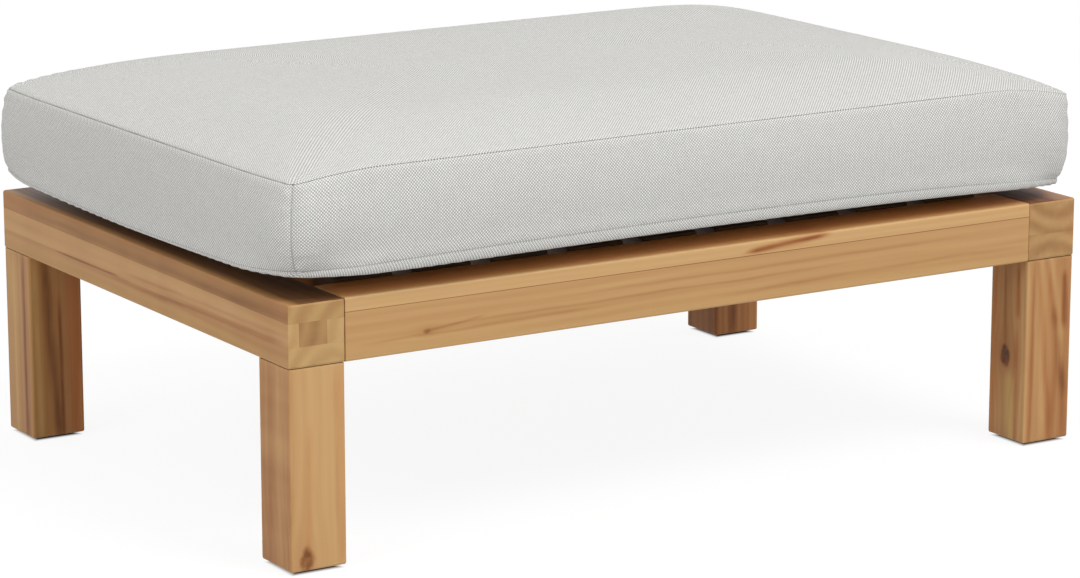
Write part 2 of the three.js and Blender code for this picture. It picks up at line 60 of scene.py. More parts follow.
# Cushion as it lies in the photograph
CUSHION_LENGTH = 1016 * MM
CUSHION_DEPTH = 688 * MM
CUSHION_SHIFT = Vector((-6 * MM, -5.5 * MM, 0))
CUSHION_TURN = math.radians(0.58)
BOXING_HEIGHT = 93.4 * MM
CROWN_RISE = 29 * MM
CROWN_REACH = 134 * MM
CROWN_FULLNESS = 1.43
CROWN_ROUNDING = 0.6
UNDERSIDE_LIFT = 34.4 * MM
UNDERSIDE_REACH = 118 * MM
UNDERSIDE_TURN = 2.5 * MM
UNDERSIDE_FLATTENING = 1.35
UNDERSIDE_ROUNDING = 0.8
TOP_SEAM_INSET = 11 * MM
TOP_SEAM_PULL = 8.6 * MM
BOTTOM_SEAM_PULL = 16.3 * MM
MID_BOXING_PULL = 2 * MM
MID_CORNER_RADIUS = 42 * MM
SEAM_CORNER_RADIUS = 10.6 * MM
WIDEST_SHARE = 0.45
BOXING_FULLNESS = 2.0
# How far each seam droops, and how far the cloth falls below the bottom seam before it turns in:
# at the middle of the two long sides, and at the corners and the middle of each short side
TOP_DROOP = {"reach": 93 * MM, "fade": 1.6, "long": 0,
             "left": (10.4 * MM, 9.9 * MM), "right": (14.4 * MM, 6.7 * MM)}
BOTTOM_DROOP = {"reach": 638 * MM, "fade": 3.6, "long": 0,
                "left": (6.2 * MM, 14.8 * MM), "right": (16 * MM, 28 * MM)}
UNDERSIDE_FALL = {"reach": 150 * MM, "fade": 1.6, "long": 12 * MM,
                  "left": (7 * MM, 5 * MM), "right": (12 * MM, 12 * MM)}
# Shares of a seam's pull that its corners show: front left, front right, back left and back right
TOP_PULL_SHARES = (0.74, 0.15, 0.6, 0.6)
BOTTOM_PULL_SHARES = (1.3, 1.15, 0.9, 0.9)

# Mesh of the cushion: lines lie close together beside each seam
SEAM_LINES = np.array([0, 0.8, 1.7, 2.8, 4.2, 6, 8.5, 12]) * MM
FINE_STEP = 4.4 * MM
COARSE_STEP = 7 * MM
CORE_STEP = 18 * MM
WELD_STEP = 0.01 * MM

# Seams
GROOVE_DEPTH = 1.3 * MM
GROOVE_WIDTH = 1.5 * MM
SWELL_HEIGHT = 0.5 * MM
SWELL_FROM_SEAM = 7 * MM
PUCKER_HEIGHT = 0.5 * MM
PUCKER_REACH = 9 * MM
PUCKER_PITCH = 17 * MM
GATHER_REACH = 22 * MM
GATHER_STRENGTH = 2.2
# How strongly each kind of seam is drawn in, and how dark the shade painted along it is
SEAM_WEIGHTS = {"top": 1.0, "bottom": 0.22, "corner": 0.4}
# Towards the right end the cloth is drawn tight and the seam hardly shows
TIGHT_SEAM_SHARE = 0.7
TIGHT_SEAM_SPAN = (330 * MM, 410 * MM)

# Cloth simulation of the cover
SIMULATED_FRAMES = 20
COVER_PRESSURE = 4.0
MOVEMENT_CAP = 22 * MM
SPARE_CLOTH_SHARE = 0.02
CREASE_REACH = 45 * MM
BOTTOM_CREASE_SHARE = 0.1
SMOOTH_ABOVE_BOTTOM_SEAM = 40 * MM


def add_object(name, data):
    piece = bpy.data.objects.new(name, data)
    bpy.context.scene.collection.objects.link(piece)
    return piece


def add_mesh(name, vertices, faces, material=None):
    mesh = bpy.data.meshes.new(name)
    mesh.from_pydata(vertices, [], faces)
    mesh.shade_smooth()
    if material:
        mesh.materials.append(material)
    return add_object(name, mesh)


class Value:
    """A number, a vector or a colour in a node tree; sums and products of values add nodes to the tree."""

    def __init__(self, nodes, socket):
        self.nodes = nodes
        self.socket = socket

    def __add__(self, other):
        return self.nodes.math("ADD", self, other)

    def __sub__(self, other):
        return self.nodes.math("SUBTRACT", self, other)

    def __rsub__(self, other):
        return self.nodes.math("SUBTRACT", other, self)

    def __mul__(self, other):
        return self.nodes.math("MULTIPLY", self, other)

    def __truediv__(self, other):
        return self.nodes.math("DIVIDE", self, other)

    def __abs__(self):
        return self.nodes.math("ABSOLUTE", self)

    __radd__ = __add__
    __rmul__ = __mul__


class Nodes:
    """Short calls that build the node tree of a new material or world."""

    def __init__(self, name, kind="materials"):
        self.owner = getattr(bpy.data, kind).new(name)
        self.owner.use_nodes = True
        self.tree = self.owner.node_tree
        self.tree.nodes.clear()

    def feed(self, socket, value):
        if isinstance(value, Value):
            self.tree.links.new(value.socket, socket)
        elif socket.type == "RGBA" and len(value) == 3:
            socket.default_value = (*value, 1)
        else:
            socket.default_value = value

    def node(self, kind, inputs=None, **settings):
        node = self.tree.nodes.new("ShaderNode" + kind)
        for key, value in settings.items():
            setattr(node, key, value)
        for socket, value in (inputs or {}).items():
            self.feed(node.inputs[socket], value)
        return node

    def value(self, kind, inputs=None, output=0, **settings):
        """One output of a new node."""
        return Value(self, self.node(kind, inputs, **settings).outputs[output])

    def values(self, kind, first_input):
        """All outputs of a new node."""
        return [Value(self, socket) for socket in self.node(kind, {0: first_input}).outputs]

    def math(self, operation, *values, clamp=False):
        return self.value("Math", dict(enumerate(values)), operation=operation, use_clamp=clamp)

    def vector(self, operation, *values):
        output = "Value" if operation == "LENGTH" else "Vector"
        return self.value("VectorMath", dict(enumerate(values)), output, operation=operation)

    def split(self, vector):
        return self.values("SeparateXYZ", vector)

    def join(self, *values):
        return self.value("CombineXYZ", dict(enumerate(values)))

    def length(self, *values):
        return self.vector("LENGTH", self.join(*values))

    def share(self, value, slope, start):
        """A value times its slope, from its start, and kept between 0 and 1."""
        return self.math("MULTIPLY_ADD", value, slope, start, clamp=True)

    def fall_off(self, value):
        return self.math("EXPONENT", value * -1.0)

    def wave(self, place, pitch):
        return self.math("SINE", place * (2 * math.pi / pitch))

    def step(self, value, low, high):
        """0 at low and 1 at high, with a smooth slope between."""
        return self.value("MapRange", {0: value, 1: low, 2: high}, interpolation_type="SMOOTHSTEP")

    def mix(self, factor, first, second, blend="MIX"):
        return self.value("Mix", {0: factor, 6: first, 7: second}, 2, data_type="RGBA", blend_type=blend)

    def between(self, noise, first, second):
        """A colour between two, by noise from -1 to 1."""
        return self.mix(self.share(noise, 0.5, 0.5), first, second)

    def ramp(self, factor, stops, interpolation="LINEAR"):
        node = self.node("ValToRGB", {0: factor})
        elements = node.color_ramp.elements
        node.color_ramp.interpolation = interpolation
        while len(elements) < len(stops):
            elements.new(1)
        for element, (place, value) in zip(elements, stops):
            element.position = place
            element.color = (*value, 1) if isinstance(value, tuple) else (value, value, value, 1)
        return Value(self, node.outputs[0])

    def noise(self, vector, seed=0.0, detail=2.0):
        """Noise from -1 to 1, with bumps about one unit of the vector wide."""
        inputs = {"Vector": vector, "W": seed, "Scale": 1.0, "Detail": detail}
        return self.value("TexNoise", inputs, noise_dimensions="4D") * 2.0 - 1.0

    def place(self):
        return self.value("TexCoord", output="Object")

    def fleck(self, rates, seed, detail=2.0):
        """Noise at the object's own places, with its rates a metre along X, Y and Z."""
        return self.noise(self.vector("MULTIPLY", self.place(), rates), seed, detail)

    def surface(self, color, roughness, height, bump, **constants):
        """Ends the tree in a Principled shader; constants are set on its own sockets."""
        relief = self.value("Bump", {"Height": height, "Distance": bump, "Strength": 1.0})
        inputs = {"Base Color": color, "Roughness": roughness, "Normal": relief, **constants}
        self.node("OutputMaterial", {0: self.value("BsdfPrincipled", inputs)})
        return self.owner


# Wood
WOOD_TONES = [
    (0.0, (0.045, 0.018, 0.009)),
    (0.25, (0.205, 0.076, 0.024)),
    (0.42, (0.39, 0.172, 0.060)),
    (0.57, (0.52, 0.282, 0.114)),
    (0.70, (0.62, 0.368, 0.160)),
    (0.85, (0.71, 0.45, 0.205)),
    (1.0, (0.83, 0.58, 0.30)),
]
OLIVE_CAST = (0.97, 1.05, 0.84)
RED_CAST = (1.06, 0.87, 0.77)
END_TINT = (0.50, 0.34, 0.155)
END_TINT_SHARE = 0.35
RING_PITCH = 8 * MM
END_RING_PITCH = 2.6 * RING_PITCH
RING_WARP = 11 * MM
GLUE_LINE = 0.6 * MM
ARRIS_WIDTH = 4 * MM
PITH_SPAN = 0.4
SLAT_NUMBERS = range(1, 10)
# Painted shade at the ends of the slats: how far in it reaches, its near-black colour and how much of it is
# mixed in
END_SHADE_LENGTH = 46 * MM
END_SHADE_COLOR = (0.022, 0.013, 0.009)
END_SHADE_SHARE = 0.82
# How far the edge of the shade painted on the rail tops under the cushion wanders
PAINTED_SHADE_EDGE_WANDER = 2 * MM
GRAIN_RELIEF = 0.06 * MM
# What each feature adds to the tone or takes off it
END_GRAIN_LIGHT = 0.045
FIBRE_LIGHT = 0.028
ARRIS_WEAR_AND_HIGHLIGHT = 0.05
KNOT_DARK = 0.34
HALO_DARK = 0.16
# Bands of figure: changes a metre along the grain, width across it, seed and detail of the noise
FIGURE_BANDS = {
    "broad": (2.2, 36 * MM, 8.0, 1.0),
    "streaky": (1.2, 13 * MM, 0.0, 2.0),
    "narrow": (1.8, 5 * MM, 3.0, 1.0),
    "fibre": (12, 1.9 * MM, 1.0, 3.0),
    "hue": (1.0, 22 * MM, 15.0, 1.0),
}
# Axes along the grain, across it and up it
GRAIN_AXES = {"X": (0, 1, 2), "Y": (1, 0, 2), "Z": (2, 0, 1)}


def starts_of(parts):
    """Where each part starts, for parts that begin with the share where they end."""
    return [0] + [part[0] for part in parts[:-1]]


def board_values(n, up_share, boards):
    """Each board's tone, and where its pith lies across and up, as shares of the span of the piths."""
    packed = [(start, (tone, pith_across * MM / PITH_SPAN + 0.5, pith_up * MM / PITH_SPAN + 0.5))
              for start, (_, tone, pith_across, pith_up) in zip(starts_of(boards), boards)]
    return n.values("SeparateColor", n.ramp(up_share, packed, "CONSTANT"))


def streak_marks(n, along, side, seed, streaks):
    """What the streaks take off the tone, and the hue that they add."""
    darker, hue = 0.0, 0.0
    for *sizes, depth, own_hue in streaks:
        start, end, side_start, side_end, width, wander = (size * MM for size in sizes)
        travel = (along - start) / (end - start)
        line = travel * (side_end - side_start) + side_start
        wobble = n.noise(n.join(along * 9), seed + start, detail=1.0)
        swelling = n.noise(n.join(along * 13), seed + end, detail=1.0)
        aside = abs(side - line - wobble * wander) / (swelling * (0.55 * width) + width)
        body = n.fall_off(n.math("POWER", aside, 2.0))
        body = body * n.step(travel, -0.05, 0.15) * n.step(travel, 1.05, 0.8)
        uneven = n.share(n.noise(n.join(along * 22, side * 160), seed), 0.5, 0.8)
        darker = darker + body * uneven * depth
        hue = hue + body * own_hue
    return darker, hue


def knot_marks(n, along, side, seed, knot):
    """The fibres' side as they part round a knot and close again, the knot's core and its halo."""
    *sizes, strength = knot
    knot_along, knot_side, size = (value * MM for value in sizes)
    ahead, aside = along - knot_along, side - knot_side
    distance = n.length(ahead * 0.5, aside)
    bend = n.fall_off(n.math("POWER", distance / (2.6 * size), 2.0))
    ragged = n.fleck((0.9 / size,) * 3, seed, detail=3.0)
    mottle = n.fleck((1.5 / size,) * 3, seed + 5)
    near = ragged * (0.3 * size) + n.length(ahead * 0.6, aside)
    core = n.step(near, 1.15 * size, 0.55 * size) * (mottle * 0.7 + 0.7) * strength
    halo = n.fall_off(distance / (1.3 * size)) * strength
    return side - aside * bend * 0.85, core, halo


def growth_rings(n, along, across, up, piths, end_grain, board_seed):
    """Rings round each board's pith: fine and patchy on the long faces, wide on the end grain."""
    warp = n.noise(n.join(along * 2.4, across * 16, up * 16), board_seed)
    pith_across, pith_up = (pith * PITH_SPAN - PITH_SPAN / 2 for pith in piths)
    radius = warp * RING_WARP + n.length(across - pith_across, up - pith_up)
    patchy = n.share(n.noise(n.join(along * 3, across * 40, up * 40), board_seed + 4.0), 0.9, 0.6)
    on_face = patchy * n.wave(radius, RING_PITCH) * (end_grain * -0.85 + 1.0)
    return end_grain * n.wave(radius, END_RING_PITCH) * 2.4 + on_face


def worn_and_highlit_arris(n, local, half):
    """1 on the edges of the piece and 0 away from them."""
    first, second, third = (size - abs(place) for size, place in zip(half, local))
    nearer, farther = n.math("MINIMUM", first, second), n.math("MAXIMUM", first, second)
    return n.step(n.math("MAXIMUM", nearer, n.math("MINIMUM", farther, third)), ARRIS_WIDTH, 0.0)


def end_shade_mask(n, local, half, seed):
    """1 near the ends of the piece, where shade is painted on as near-black colour."""
    along, across, up = local
    ragged = n.noise(n.join(across * 90, up * 90), seed) * (0.25 * END_SHADE_LENGTH)
    return n.step(half[0] - abs(along) + ragged, 1.3 * END_SHADE_LENGTH, 0.8 * END_SHADE_LENGTH)


def wood(node, grain, boards, seed, staves=None, up_streaks=(), across_streaks=(), knot=None, knot_axis="up",
         figure=0.10, glue=0.10, rings=0.05, sway=2, cast=0.5, olive=0.0, slope=(0.0, 0.0), painted_end_shade=False,
         painted_cushion_shade=None):
    """Oiled acacia for one piece, cut from solid boards that are glued together.

    Places and sizes are in millimetres, from the middle of the piece. boards are (share of the height where
    the board ends, tone, pith across, pith up), from the bottom. staves are (share of the width, tone) for
    the middle board. streaks are (start, end, side at start, side at end, width, wander, depth, hue) and a
    knot is (along, side, size, strength), with side measured up or across. slope is the tone that a metre
    across and a metre up add; besides a change of tone across the wood, it makes whole sides darker or
    lighter as the light falls on them, which is painted light and shade. painted_cushion_shade is (start,
    end, cast) for painted shade on the part of the upper face that lies in the cushion's shadow, measured
    across from the middle of the footstool; on the front rail its cast is a painted redder light.
    """
    n = Nodes(f"acacia_{node}")
    low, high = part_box(node)
    order = GRAIN_AXES[grain]
    centred = n.split(n.vector("SUBTRACT", n.place(), tuple((low + high) / 2)))
    local = [centred[axis] for axis in order]
    half = [(high - low)[axis] / 2 for axis in order]
    along, across, up = local
    normal = n.split(n.value("TexCoord", output="Normal"))
    end_grain = n.step(abs(normal[order[0]]), 0.6, 0.8)

    up_share = up * (0.5 / half[2]) + 0.5
    tone, *piths = board_values(n, up_share, boards)
    board_seed = piths[0] * 7.0 + piths[1] * 3.0 + seed
    if staves:
        above_first = n.math("GREATER_THAN", up_share, boards[0][0])
        in_middle = above_first * n.math("LESS_THAN", up_share, boards[1][0])
        stops = [(start, stave_tone) for start, (_, stave_tone) in zip(starts_of(staves), staves)]
        stave = n.ramp(across * (0.5 / half[1]) + 0.5, stops, "CONSTANT")
        tone = tone + in_middle * (stave - tone)
        board_seed = board_seed + in_middle * stave * 20.0
    # The slope tilts the tone across the section; besides a change of tone across the wood, it is set so
    # that whole sides come out darker or lighter as the light falls on them: partly painted light and shade.
    tone = tone + across * slope[0] + up * slope[1] + end_grain * END_GRAIN_LIGHT
    hue = olive
    for side, streaks in ((up, up_streaks), (across, across_streaks)):
        darker, streak_hue = streak_marks(n, along, side, seed, streaks)
        tone, hue = tone - darker, streak_hue + hue
    if knot:
        side = up if knot_axis == "up" else across
        parted, core, halo = knot_marks(n, along, side, seed, knot)
        up, across = (parted, across) if knot_axis == "up" else (up, parted)
        tone = tone - core * KNOT_DARK - halo * HALO_DARK

    drift = n.noise(n.join(along * 5.0), board_seed + 2.0, detail=1.0) * (sway * MM)
    across, up = across + drift, up + drift * 0.7
    bands = {}
    for band, (rate, width, shift, detail) in FIGURE_BANDS.items():
        bands[band] = n.noise(n.join(along * rate, across * (1 / width), up * (1 / width)),
                              board_seed + shift, detail)
    fibre, broad = bands["fibre"], bands["broad"]
    rings_seen = growth_rings(n, along, across, up, piths, end_grain, board_seed)
    tone = tone - rings_seen * rings + fibre * FIBRE_LIGHT + broad * (0.6 * figure)
    tone = tone + bands["streaky"] * figure + bands["narrow"] * (0.4 * figure)
    for share in starts_of(boards)[1:]:
        tone = tone - n.step(abs(up_share - share), GLUE_LINE / half[2] / 2, 0.0) * glue
    # Paler arrises: partly wear, partly a painted highlight along the rounded edges.
    tone = tone + worn_and_highlit_arris(n, local, half) * (broad * 0.5 + 0.7) * ARRIS_WEAR_AND_HIGHLIGHT

    color = n.mix(end_grain * END_TINT_SHARE, n.ramp(tone, WOOD_TONES), END_TINT)
    hue = bands["hue"] * cast + hue
    color = n.mix(n.share(hue, 1.0, 0.0), color, OLIVE_CAST, "MULTIPLY")
    color = n.mix(n.share(hue, -1.0, 0.0), color, RED_CAST, "MULTIPLY")
    # Painted shade: near the ends of each slat the colour goes to near black.
    if painted_end_shade:
        color = n.mix(end_shade_mask(n, local, half, seed) * END_SHADE_SHARE, color, END_SHADE_COLOR)
    # Painted shade: the inner part of a rail's upper face, in the cushion's shadow, is multiplied darker; on
    # the front rail it gets a painted redder cast instead.
    if painted_cushion_shade:
        start, end, shade = painted_cushion_shade
        edge = n.split(n.place())[order[1]] + broad * PAINTED_SHADE_EDGE_WANDER
        kept = n.step(normal[2], 0.5, 0.9) * n.step(edge, start * MM, end * MM)
        color = n.mix(kept, color, shade, "MULTIPLY")
    roughness = 0.46 + fibre * 0.06 + rings_seen * 0.03 + end_grain * 0.14
    return n.surface(color, roughness, fibre * 0.5 - rings_seen * 0.2, GRAIN_RELIEF,
                     **{"Specular IOR Level": 0.24})


# What the photograph shows of each piece of wood, in millimetres: its boards, streaks and knot
WOOD_LOOKS = {
    "front_rail": dict(
        grain="X", boards=[(0.775, 0.64, 50, -75), (1.0, 0.745, -30, 120)], seed=1.3,
        figure=0.07, glue=0.40, rings=0.03, painted_cushion_shade=(-336, -322, (1.30, 0.96, 0.72)),
        knot=(-340.6, -13, 3, 0.45),
        up_streaks=[
            (50, 165, 22.5, 30.5, 3, 0.8, 0.46, -0.8),
            (-345, -270, -13.5, -5, 1.6, 1.2, 0.16, -0.3),
            (-330, 200, -9, -5, 1.5, 3, 0.12, 0),
            (-430, -120, -18, -13, 1.8, 3, 0.1, 0),
            (20, 430, -20, -13, 2.2, 3, 0.11, 0),
            (-200, 350, 3, 6, 1.6, 3, 0.08, 0),
        ],
    ),
    "back_rail": dict(
        grain="X", boards=[(0.70, 0.58, -40, -80), (1.0, 0.66, 50, 100)], seed=4.1, figure=0.09,
        painted_cushion_shade=(336, 322, (1.10, 0.86, 0.70)), knot=(220, 8, 5, 1.0),
        up_streaks=[(-200, 250, -6, 4, 3, 4, 0.16, 0)],
    ),
    "end_rail_left": dict(
        grain="Y", boards=[(0.333, 0.60, 12, -50), (0.705, 0.57, -90, 20), (1.0, 0.50, 45, -12)],
        seed=2.2, staves=[(0.19, 0.66), (0.68, 0.37), (1.0, 0.63)], figure=0.05, glue=0.06,
        rings=0.03, slope=(0.4, 0.0), cast=0.1, olive=0.12, painted_cushion_shade=(-497, -483, (0.36, 0.31, 0.30)),
        up_streaks=[
            (-340, 340, 22, 22, 10, 0, 0.03, 0.8),
            (-340, 340, -24, -24, 10, 0, 0, 0.45),
            (-340, 340, 0, 0, 8, 0, 0, -0.2),
            (-340, -20, -6, -13, 3.6, 3, 0.15, 0),
            (40, 210, -10, -11.5, 1.4, 1, 0.24, -0.2),
            (-140, 120, -13, -16, 2.6, 3, 0.08, 0),
            (-340, 300, 17, 20, 4, 3, 0.08, 0),
            (-340, 50, 0.5, -4, 2.2, 2.5, 0.1, 0),
        ],
        # This streak lies just outside the left face, so it darkens that whole side: painted shade.
        across_streaks=[(-450, 450, -34, -34, 3, 0, 0.12, 0)],
    ),
    "end_rail_right": dict(
        grain="Y", boards=[(0.44, 0.42, -4, -65), (1.0, 0.40, 12, 62)], seed=6.7, figure=0.10,
        glue=0.06, rings=0.036, painted_cushion_shade=(490, 470, (0.62, 0.50, 0.48)), knot=(120, -6, 5, 1.0),
        up_streaks=[(-300, 250, 12, 6, 3, 4, 0.18, 0)],
    ),
    "leg_front_left": dict(
        grain="Z", boards=[(1.0, 0.69, 100, 130)], seed=3.1, figure=0.06, rings=0.02,
        slope=(0.8, -0.8), cast=0.25, knot=(-94, -13.5, 9, 1.0), knot_axis="across",
        up_streaks=[
            (-120, 120, 10, 8, 5, 3, 0.07, 0),
            (-120, 120, -11, -9, 5, 3, -0.06, 0),
            (-120, 120, -27, -25, 2.5, 2, 0.05, 0),
        ],
        across_streaks=[
            # This streak lies just outside the left face, so it darkens that whole side: painted shade.
            (-140, 140, -34, -34, 3.4, 0, 0.3, 0.15),
            (-100, 50, -13, -9, 4, 1.5, 0.08, -0.4),
            (-120, 120, 28, 26, 7, 2, 0.1, -0.5),
            (-120, 120, 22, 20, 2, 2, 0.05, 0),
        ],
    ),
    "leg_front_right": dict(
        grain="Z", boards=[(1.0, 0.50, -50, 70)], seed=8.4, figure=0.15, rings=0.03, sway=9,
        slope=(-0.7, -0.6), cast=0.5, olive=-0.1, knot=(-9.7, 4, 8.5, 1.1),
        up_streaks=[
            (35, 100, -17, -16, 4, 1, 0.2, -0.4),
            (0, 100, 4, 7, 3, 1, 0.18, 0),
            (-120, -20, -9, -3, 6, 1.5, -0.16, 1),
            (-120, 30, -17, -16, 3.6, 1.5, 0.16, -0.6),
            (-120, 120, 27, 22, 6, 3, 0.06, -1.2),
            (-120, 120, -27, -26, 2.4, 2, -0.05, 0.2),
        ],
        across_streaks=[
            (120, 20, -6, 10, 6, 5, 0.13, -0.3),
            (50, -60, 7, 24, 5.5, 4, 0.13, 0),
            (120, -30, 1, 20, 5, 6, -0.18, 0.4),
            (120, -120, -17, 2, 4.5, 6, 0.13, -0.3),
            (120, -120, -12, -9, 4.5, 5, -0.12, 0),
            (90, 20, 21, 22, 4.5, 2, 0.22, -0.4),
            (20, -120, 15, 26, 5, 4, 0.11, 0),
            (-120, 120, -25, -22, 3.2, 2, 0.14, -0.4),
            # This streak lies just outside the left face, so it lightens that whole side: painted light.
            (-120, 120, -31, -30, 3, 1, -0.12, 0),
        ],
    ),
    "leg_back_left": dict(
        grain="Z", boards=[(1.0, 0.50, 30, -90)], seed=5.6, figure=0.10, rings=0.03,
        slope=(0.4, 1.4), cast=0.3, olive=0.3,
        up_streaks=[
            (-120, 120, 8, 9, 5, 2, -0.14, 0),
            (-120, 120, -18, -16, 3.6, 2, 0.24, -0.6),
            (-120, 120, 30, 29, 3, 2, 0.16, 0),
        ],
        across_streaks=[
            (-120, 120, 0, -14, 6, 2, 0.24, 0.2),
            (-120, 60, 6, 4, 2.2, 1.5, 0.24, -0.8),
            (-120, 120, 24, 21, 10, 2, 0.02, -1.5),
            (-120, -20, 27, 29, 3, 1, -0.1, -0.6),
            (-120, 120, -22, -28, 4.5, 2, -0.14, 0.3),
        ],
    ),
    "leg_back_right": dict(
        grain="Z", boards=[(1.0, 0.42, 80, -70)], seed=9.9, figure=0.15, rings=0.04, olive=-0.3,
        across_streaks=[(-120, 120, -8, 4, 6, 4, 0.15, 0)],
    ),
}


def wood_finishes():
    """The material of each wooden node."""
    finishes = {node: wood(node, **look) for node, look in WOOD_LOOKS.items()}
    # The slats' ends get painted shade, near black.
    for number in SLAT_NUMBERS:
        board = (1.0, 0.40 + 0.06 * math.sin(number * 2.4), 20 * math.cos(number * 1.7), -60)
        finishes[f"slat_{number}"] = wood(f"slat_{number}", "Y", [board], 10 + number * 1.37, painted_end_shade=True)
    for node in ("front_cleat", "back_cleat"):
        finishes[node] = wood(node, "X", [(1.0, 0.42, 30, -60)], 30.0)
    return finishes


def zinc(name, thin, thick):
    """Zinc plate with the faint cloudy crystals that it has, between two shades."""
    n = Nodes(name)
    cloud = n.fleck((160.0,) * 3, 1.0)
    brushed = n.fleck((900.0, 900.0, 120.0), 2.0)
    roughness = 0.34 + cloud * 0.07 + brushed * 0.04
    return n.surface(n.between(cloud, thin, thick), roughness, brushed, 0.03 * MM, Metallic=1.0)


def nickel():
    n = Nodes("nickel_zip")
    rub = n.fleck((1400.0, 500.0, 1400.0), 5.0)
    color = n.between(rub, (0.46, 0.455, 0.44), (0.62, 0.61, 0.59))
    return n.surface(color, 0.3 + rub * 0.07, rub, 0.02 * MM, Metallic=1.0)


def glide_plastic():
    n = Nodes("glide_plastic")
    scuff = n.fleck((220.0, 220.0, 900.0), 4.0)
    color = n.mix(n.step(scuff, 0.1, 0.6), (0.020, 0.018, 0.017), (0.050, 0.046, 0.042))
    return n.surface(color, 0.55 + scuff * 0.1, n.fleck((1800.0,) * 3, 3.0), 0.05 * MM)


def beech():
    n = Nodes("beech_dowel")
    grain = n.fleck((900.0, 900.0, 60.0), 6.0)
    color = n.between(grain, (0.50, 0.34, 0.19), (0.66, 0.49, 0.30))
    return n.surface(color, 0.62, grain, 0.08 * MM)


def foam_finish():
    """Open cells of an upholstery foam."""
    n = Nodes("foam_cells")
    cells = n.value("TexVoronoi", {"Vector": n.place(), "Scale": 900.0}, "Distance")
    color = n.mix(cells, (0.55, 0.50, 0.36), (0.82, 0.78, 0.62))
    return n.surface(color, 0.95, cells, 0.4 * MM)


THREAD_PITCH = 1.75 * MM
THREAD_WANDER = 0.16
WEAVE_RELIEF = 0.20 * MM
SEAM_SHADE_WIDTH = 1.3 * MM
STITCH_PITCH = 3.4 * MM
GREY_YARN = ((0.35, 0.347, 0.335), (0.52, 0.516, 0.500))
LIGHT_YARN = ((0.80, 0.797, 0.765), (0.97, 0.965, 0.935))
THREAD_GAP_SHADE_COLOR = (0.17, 0.165, 0.155)
WASH_COLOR = (0.58, 0.56, 0.52)
SEAM_CREASE_SHADE_COLOR = (0.08, 0.075, 0.07)


def yarn(n, thread, run, seed, shades):
    """A yarn's colour, with slubs along it and short knops."""
    slub = n.noise(n.join(thread * 3.7, run * 0.07, seed), seed, detail=1.0)
    knop = n.noise(n.join(thread * 5.3, run * 0.9, seed), seed + 4, detail=0.0)
    return n.mix(0.5 + slub * 0.45 + knop * 0.5, *shades)


def fabric():
    """A plain weave of a near-white and a grey yarn, square to the cut edges of each panel."""
    n = Nodes("cover_weave")
    cloth = n.value("UVMap", uv_map="cloth")
    u, v, _ = n.split(n.vector("MULTIPLY", cloth, (1 / THREAD_PITCH,) * 3))
    u = u + n.noise(n.join(u * 0.35, v * 0.06), 7.0) * THREAD_WANDER
    v = v + n.noise(n.join(u * 0.06, v * 0.35, 3.0), 8.0) * THREAD_WANDER
    cell_u, cell_v = n.math("FLOOR", u), n.math("FLOOR", v)
    warp_up = n.math("LESS_THAN", n.math("FLOORED_MODULO", cell_u + cell_v, 2.0), 0.5)
    over_u, over_v = (n.wave(n.math("FRACT", place), 2.0) for place in (u, v))
    warp_height = n.math("POWER", over_u, 0.6) * (over_v * 0.6 + 0.4)
    weft_height = n.math("POWER", over_v, 0.6) * (over_u * 0.6 + 0.4)
    height = warp_height * warp_up + weft_height * (1.0 - warp_up)

    color = n.mix(warp_up, yarn(n, cell_v, u, 2.0, GREY_YARN), yarn(n, cell_u, v, 1.0, LIGHT_YARN))
    # Painted shade in the hollows between the threads.
    color = n.mix(n.step(height, 0.55, 0.0) * 0.55, color, THREAD_GAP_SHADE_COLOR)
    wash = n.noise(n.vector("MULTIPLY", cloth, (9.0,) * 3), 3.0)
    color = n.mix(n.share(wash, 0.05, 0.05), color, WASH_COLOR)
    seam, weight, run = (n.value("Attribute", output="Fac", attribute_name=name)
                         for name in ("seam_distance", "seam_weight", "seam_run"))
    stitch = n.wave(run, STITCH_PITCH) * 0.4 + 0.7
    # Painted shade: a dark dotted line along each seam, for the shade in its crease.
    shade = n.step(seam, SEAM_SHADE_WIDTH, 0.2 * SEAM_SHADE_WIDTH) * weight * stitch
    color = n.mix(shade * 0.9, color, SEAM_CREASE_SHADE_COLOR)
    return n.surface(color, 0.92, height, WEAVE_RELIEF,
                     **{"Specular IOR Level": 0.15, "Sheen Weight": 0.05, "Sheen Roughness": 0.5})


TAPE_RIB_PITCH = 1.1 * MM
THREAD_TWIST_PITCH = 0.5 * MM


def tape_finish():
    """The zip's woven tape and its moulded coil."""
    n = Nodes("zip_tape")
    rib = n.wave(n.split(n.place())[0], TAPE_RIB_PITCH)
    dust = n.fleck((300.0,) * 3, 7.0)
    color = n.between(dust, (0.52, 0.515, 0.50), (0.62, 0.615, 0.60))
    return n.surface(color, 0.7, rib, 0.08 * MM)


def stitch_thread():
    n = Nodes("stitch_thread")
    x, _, z = n.split(n.place())
    twist = n.wave(x + z, THREAD_TWIST_PITCH)
    color = n.between(twist, (0.55, 0.545, 0.53), (0.74, 0.735, 0.71))
    return n.surface(color, 0.75, twist, 0.05 * MM)


# Cushion: six patches that meet along the seams and the corner seams
SIDES = ("front", "right", "back", "left")
BASE_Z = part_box("cushion_cover")[0].z
CORE_INSET = 3.2 * MM

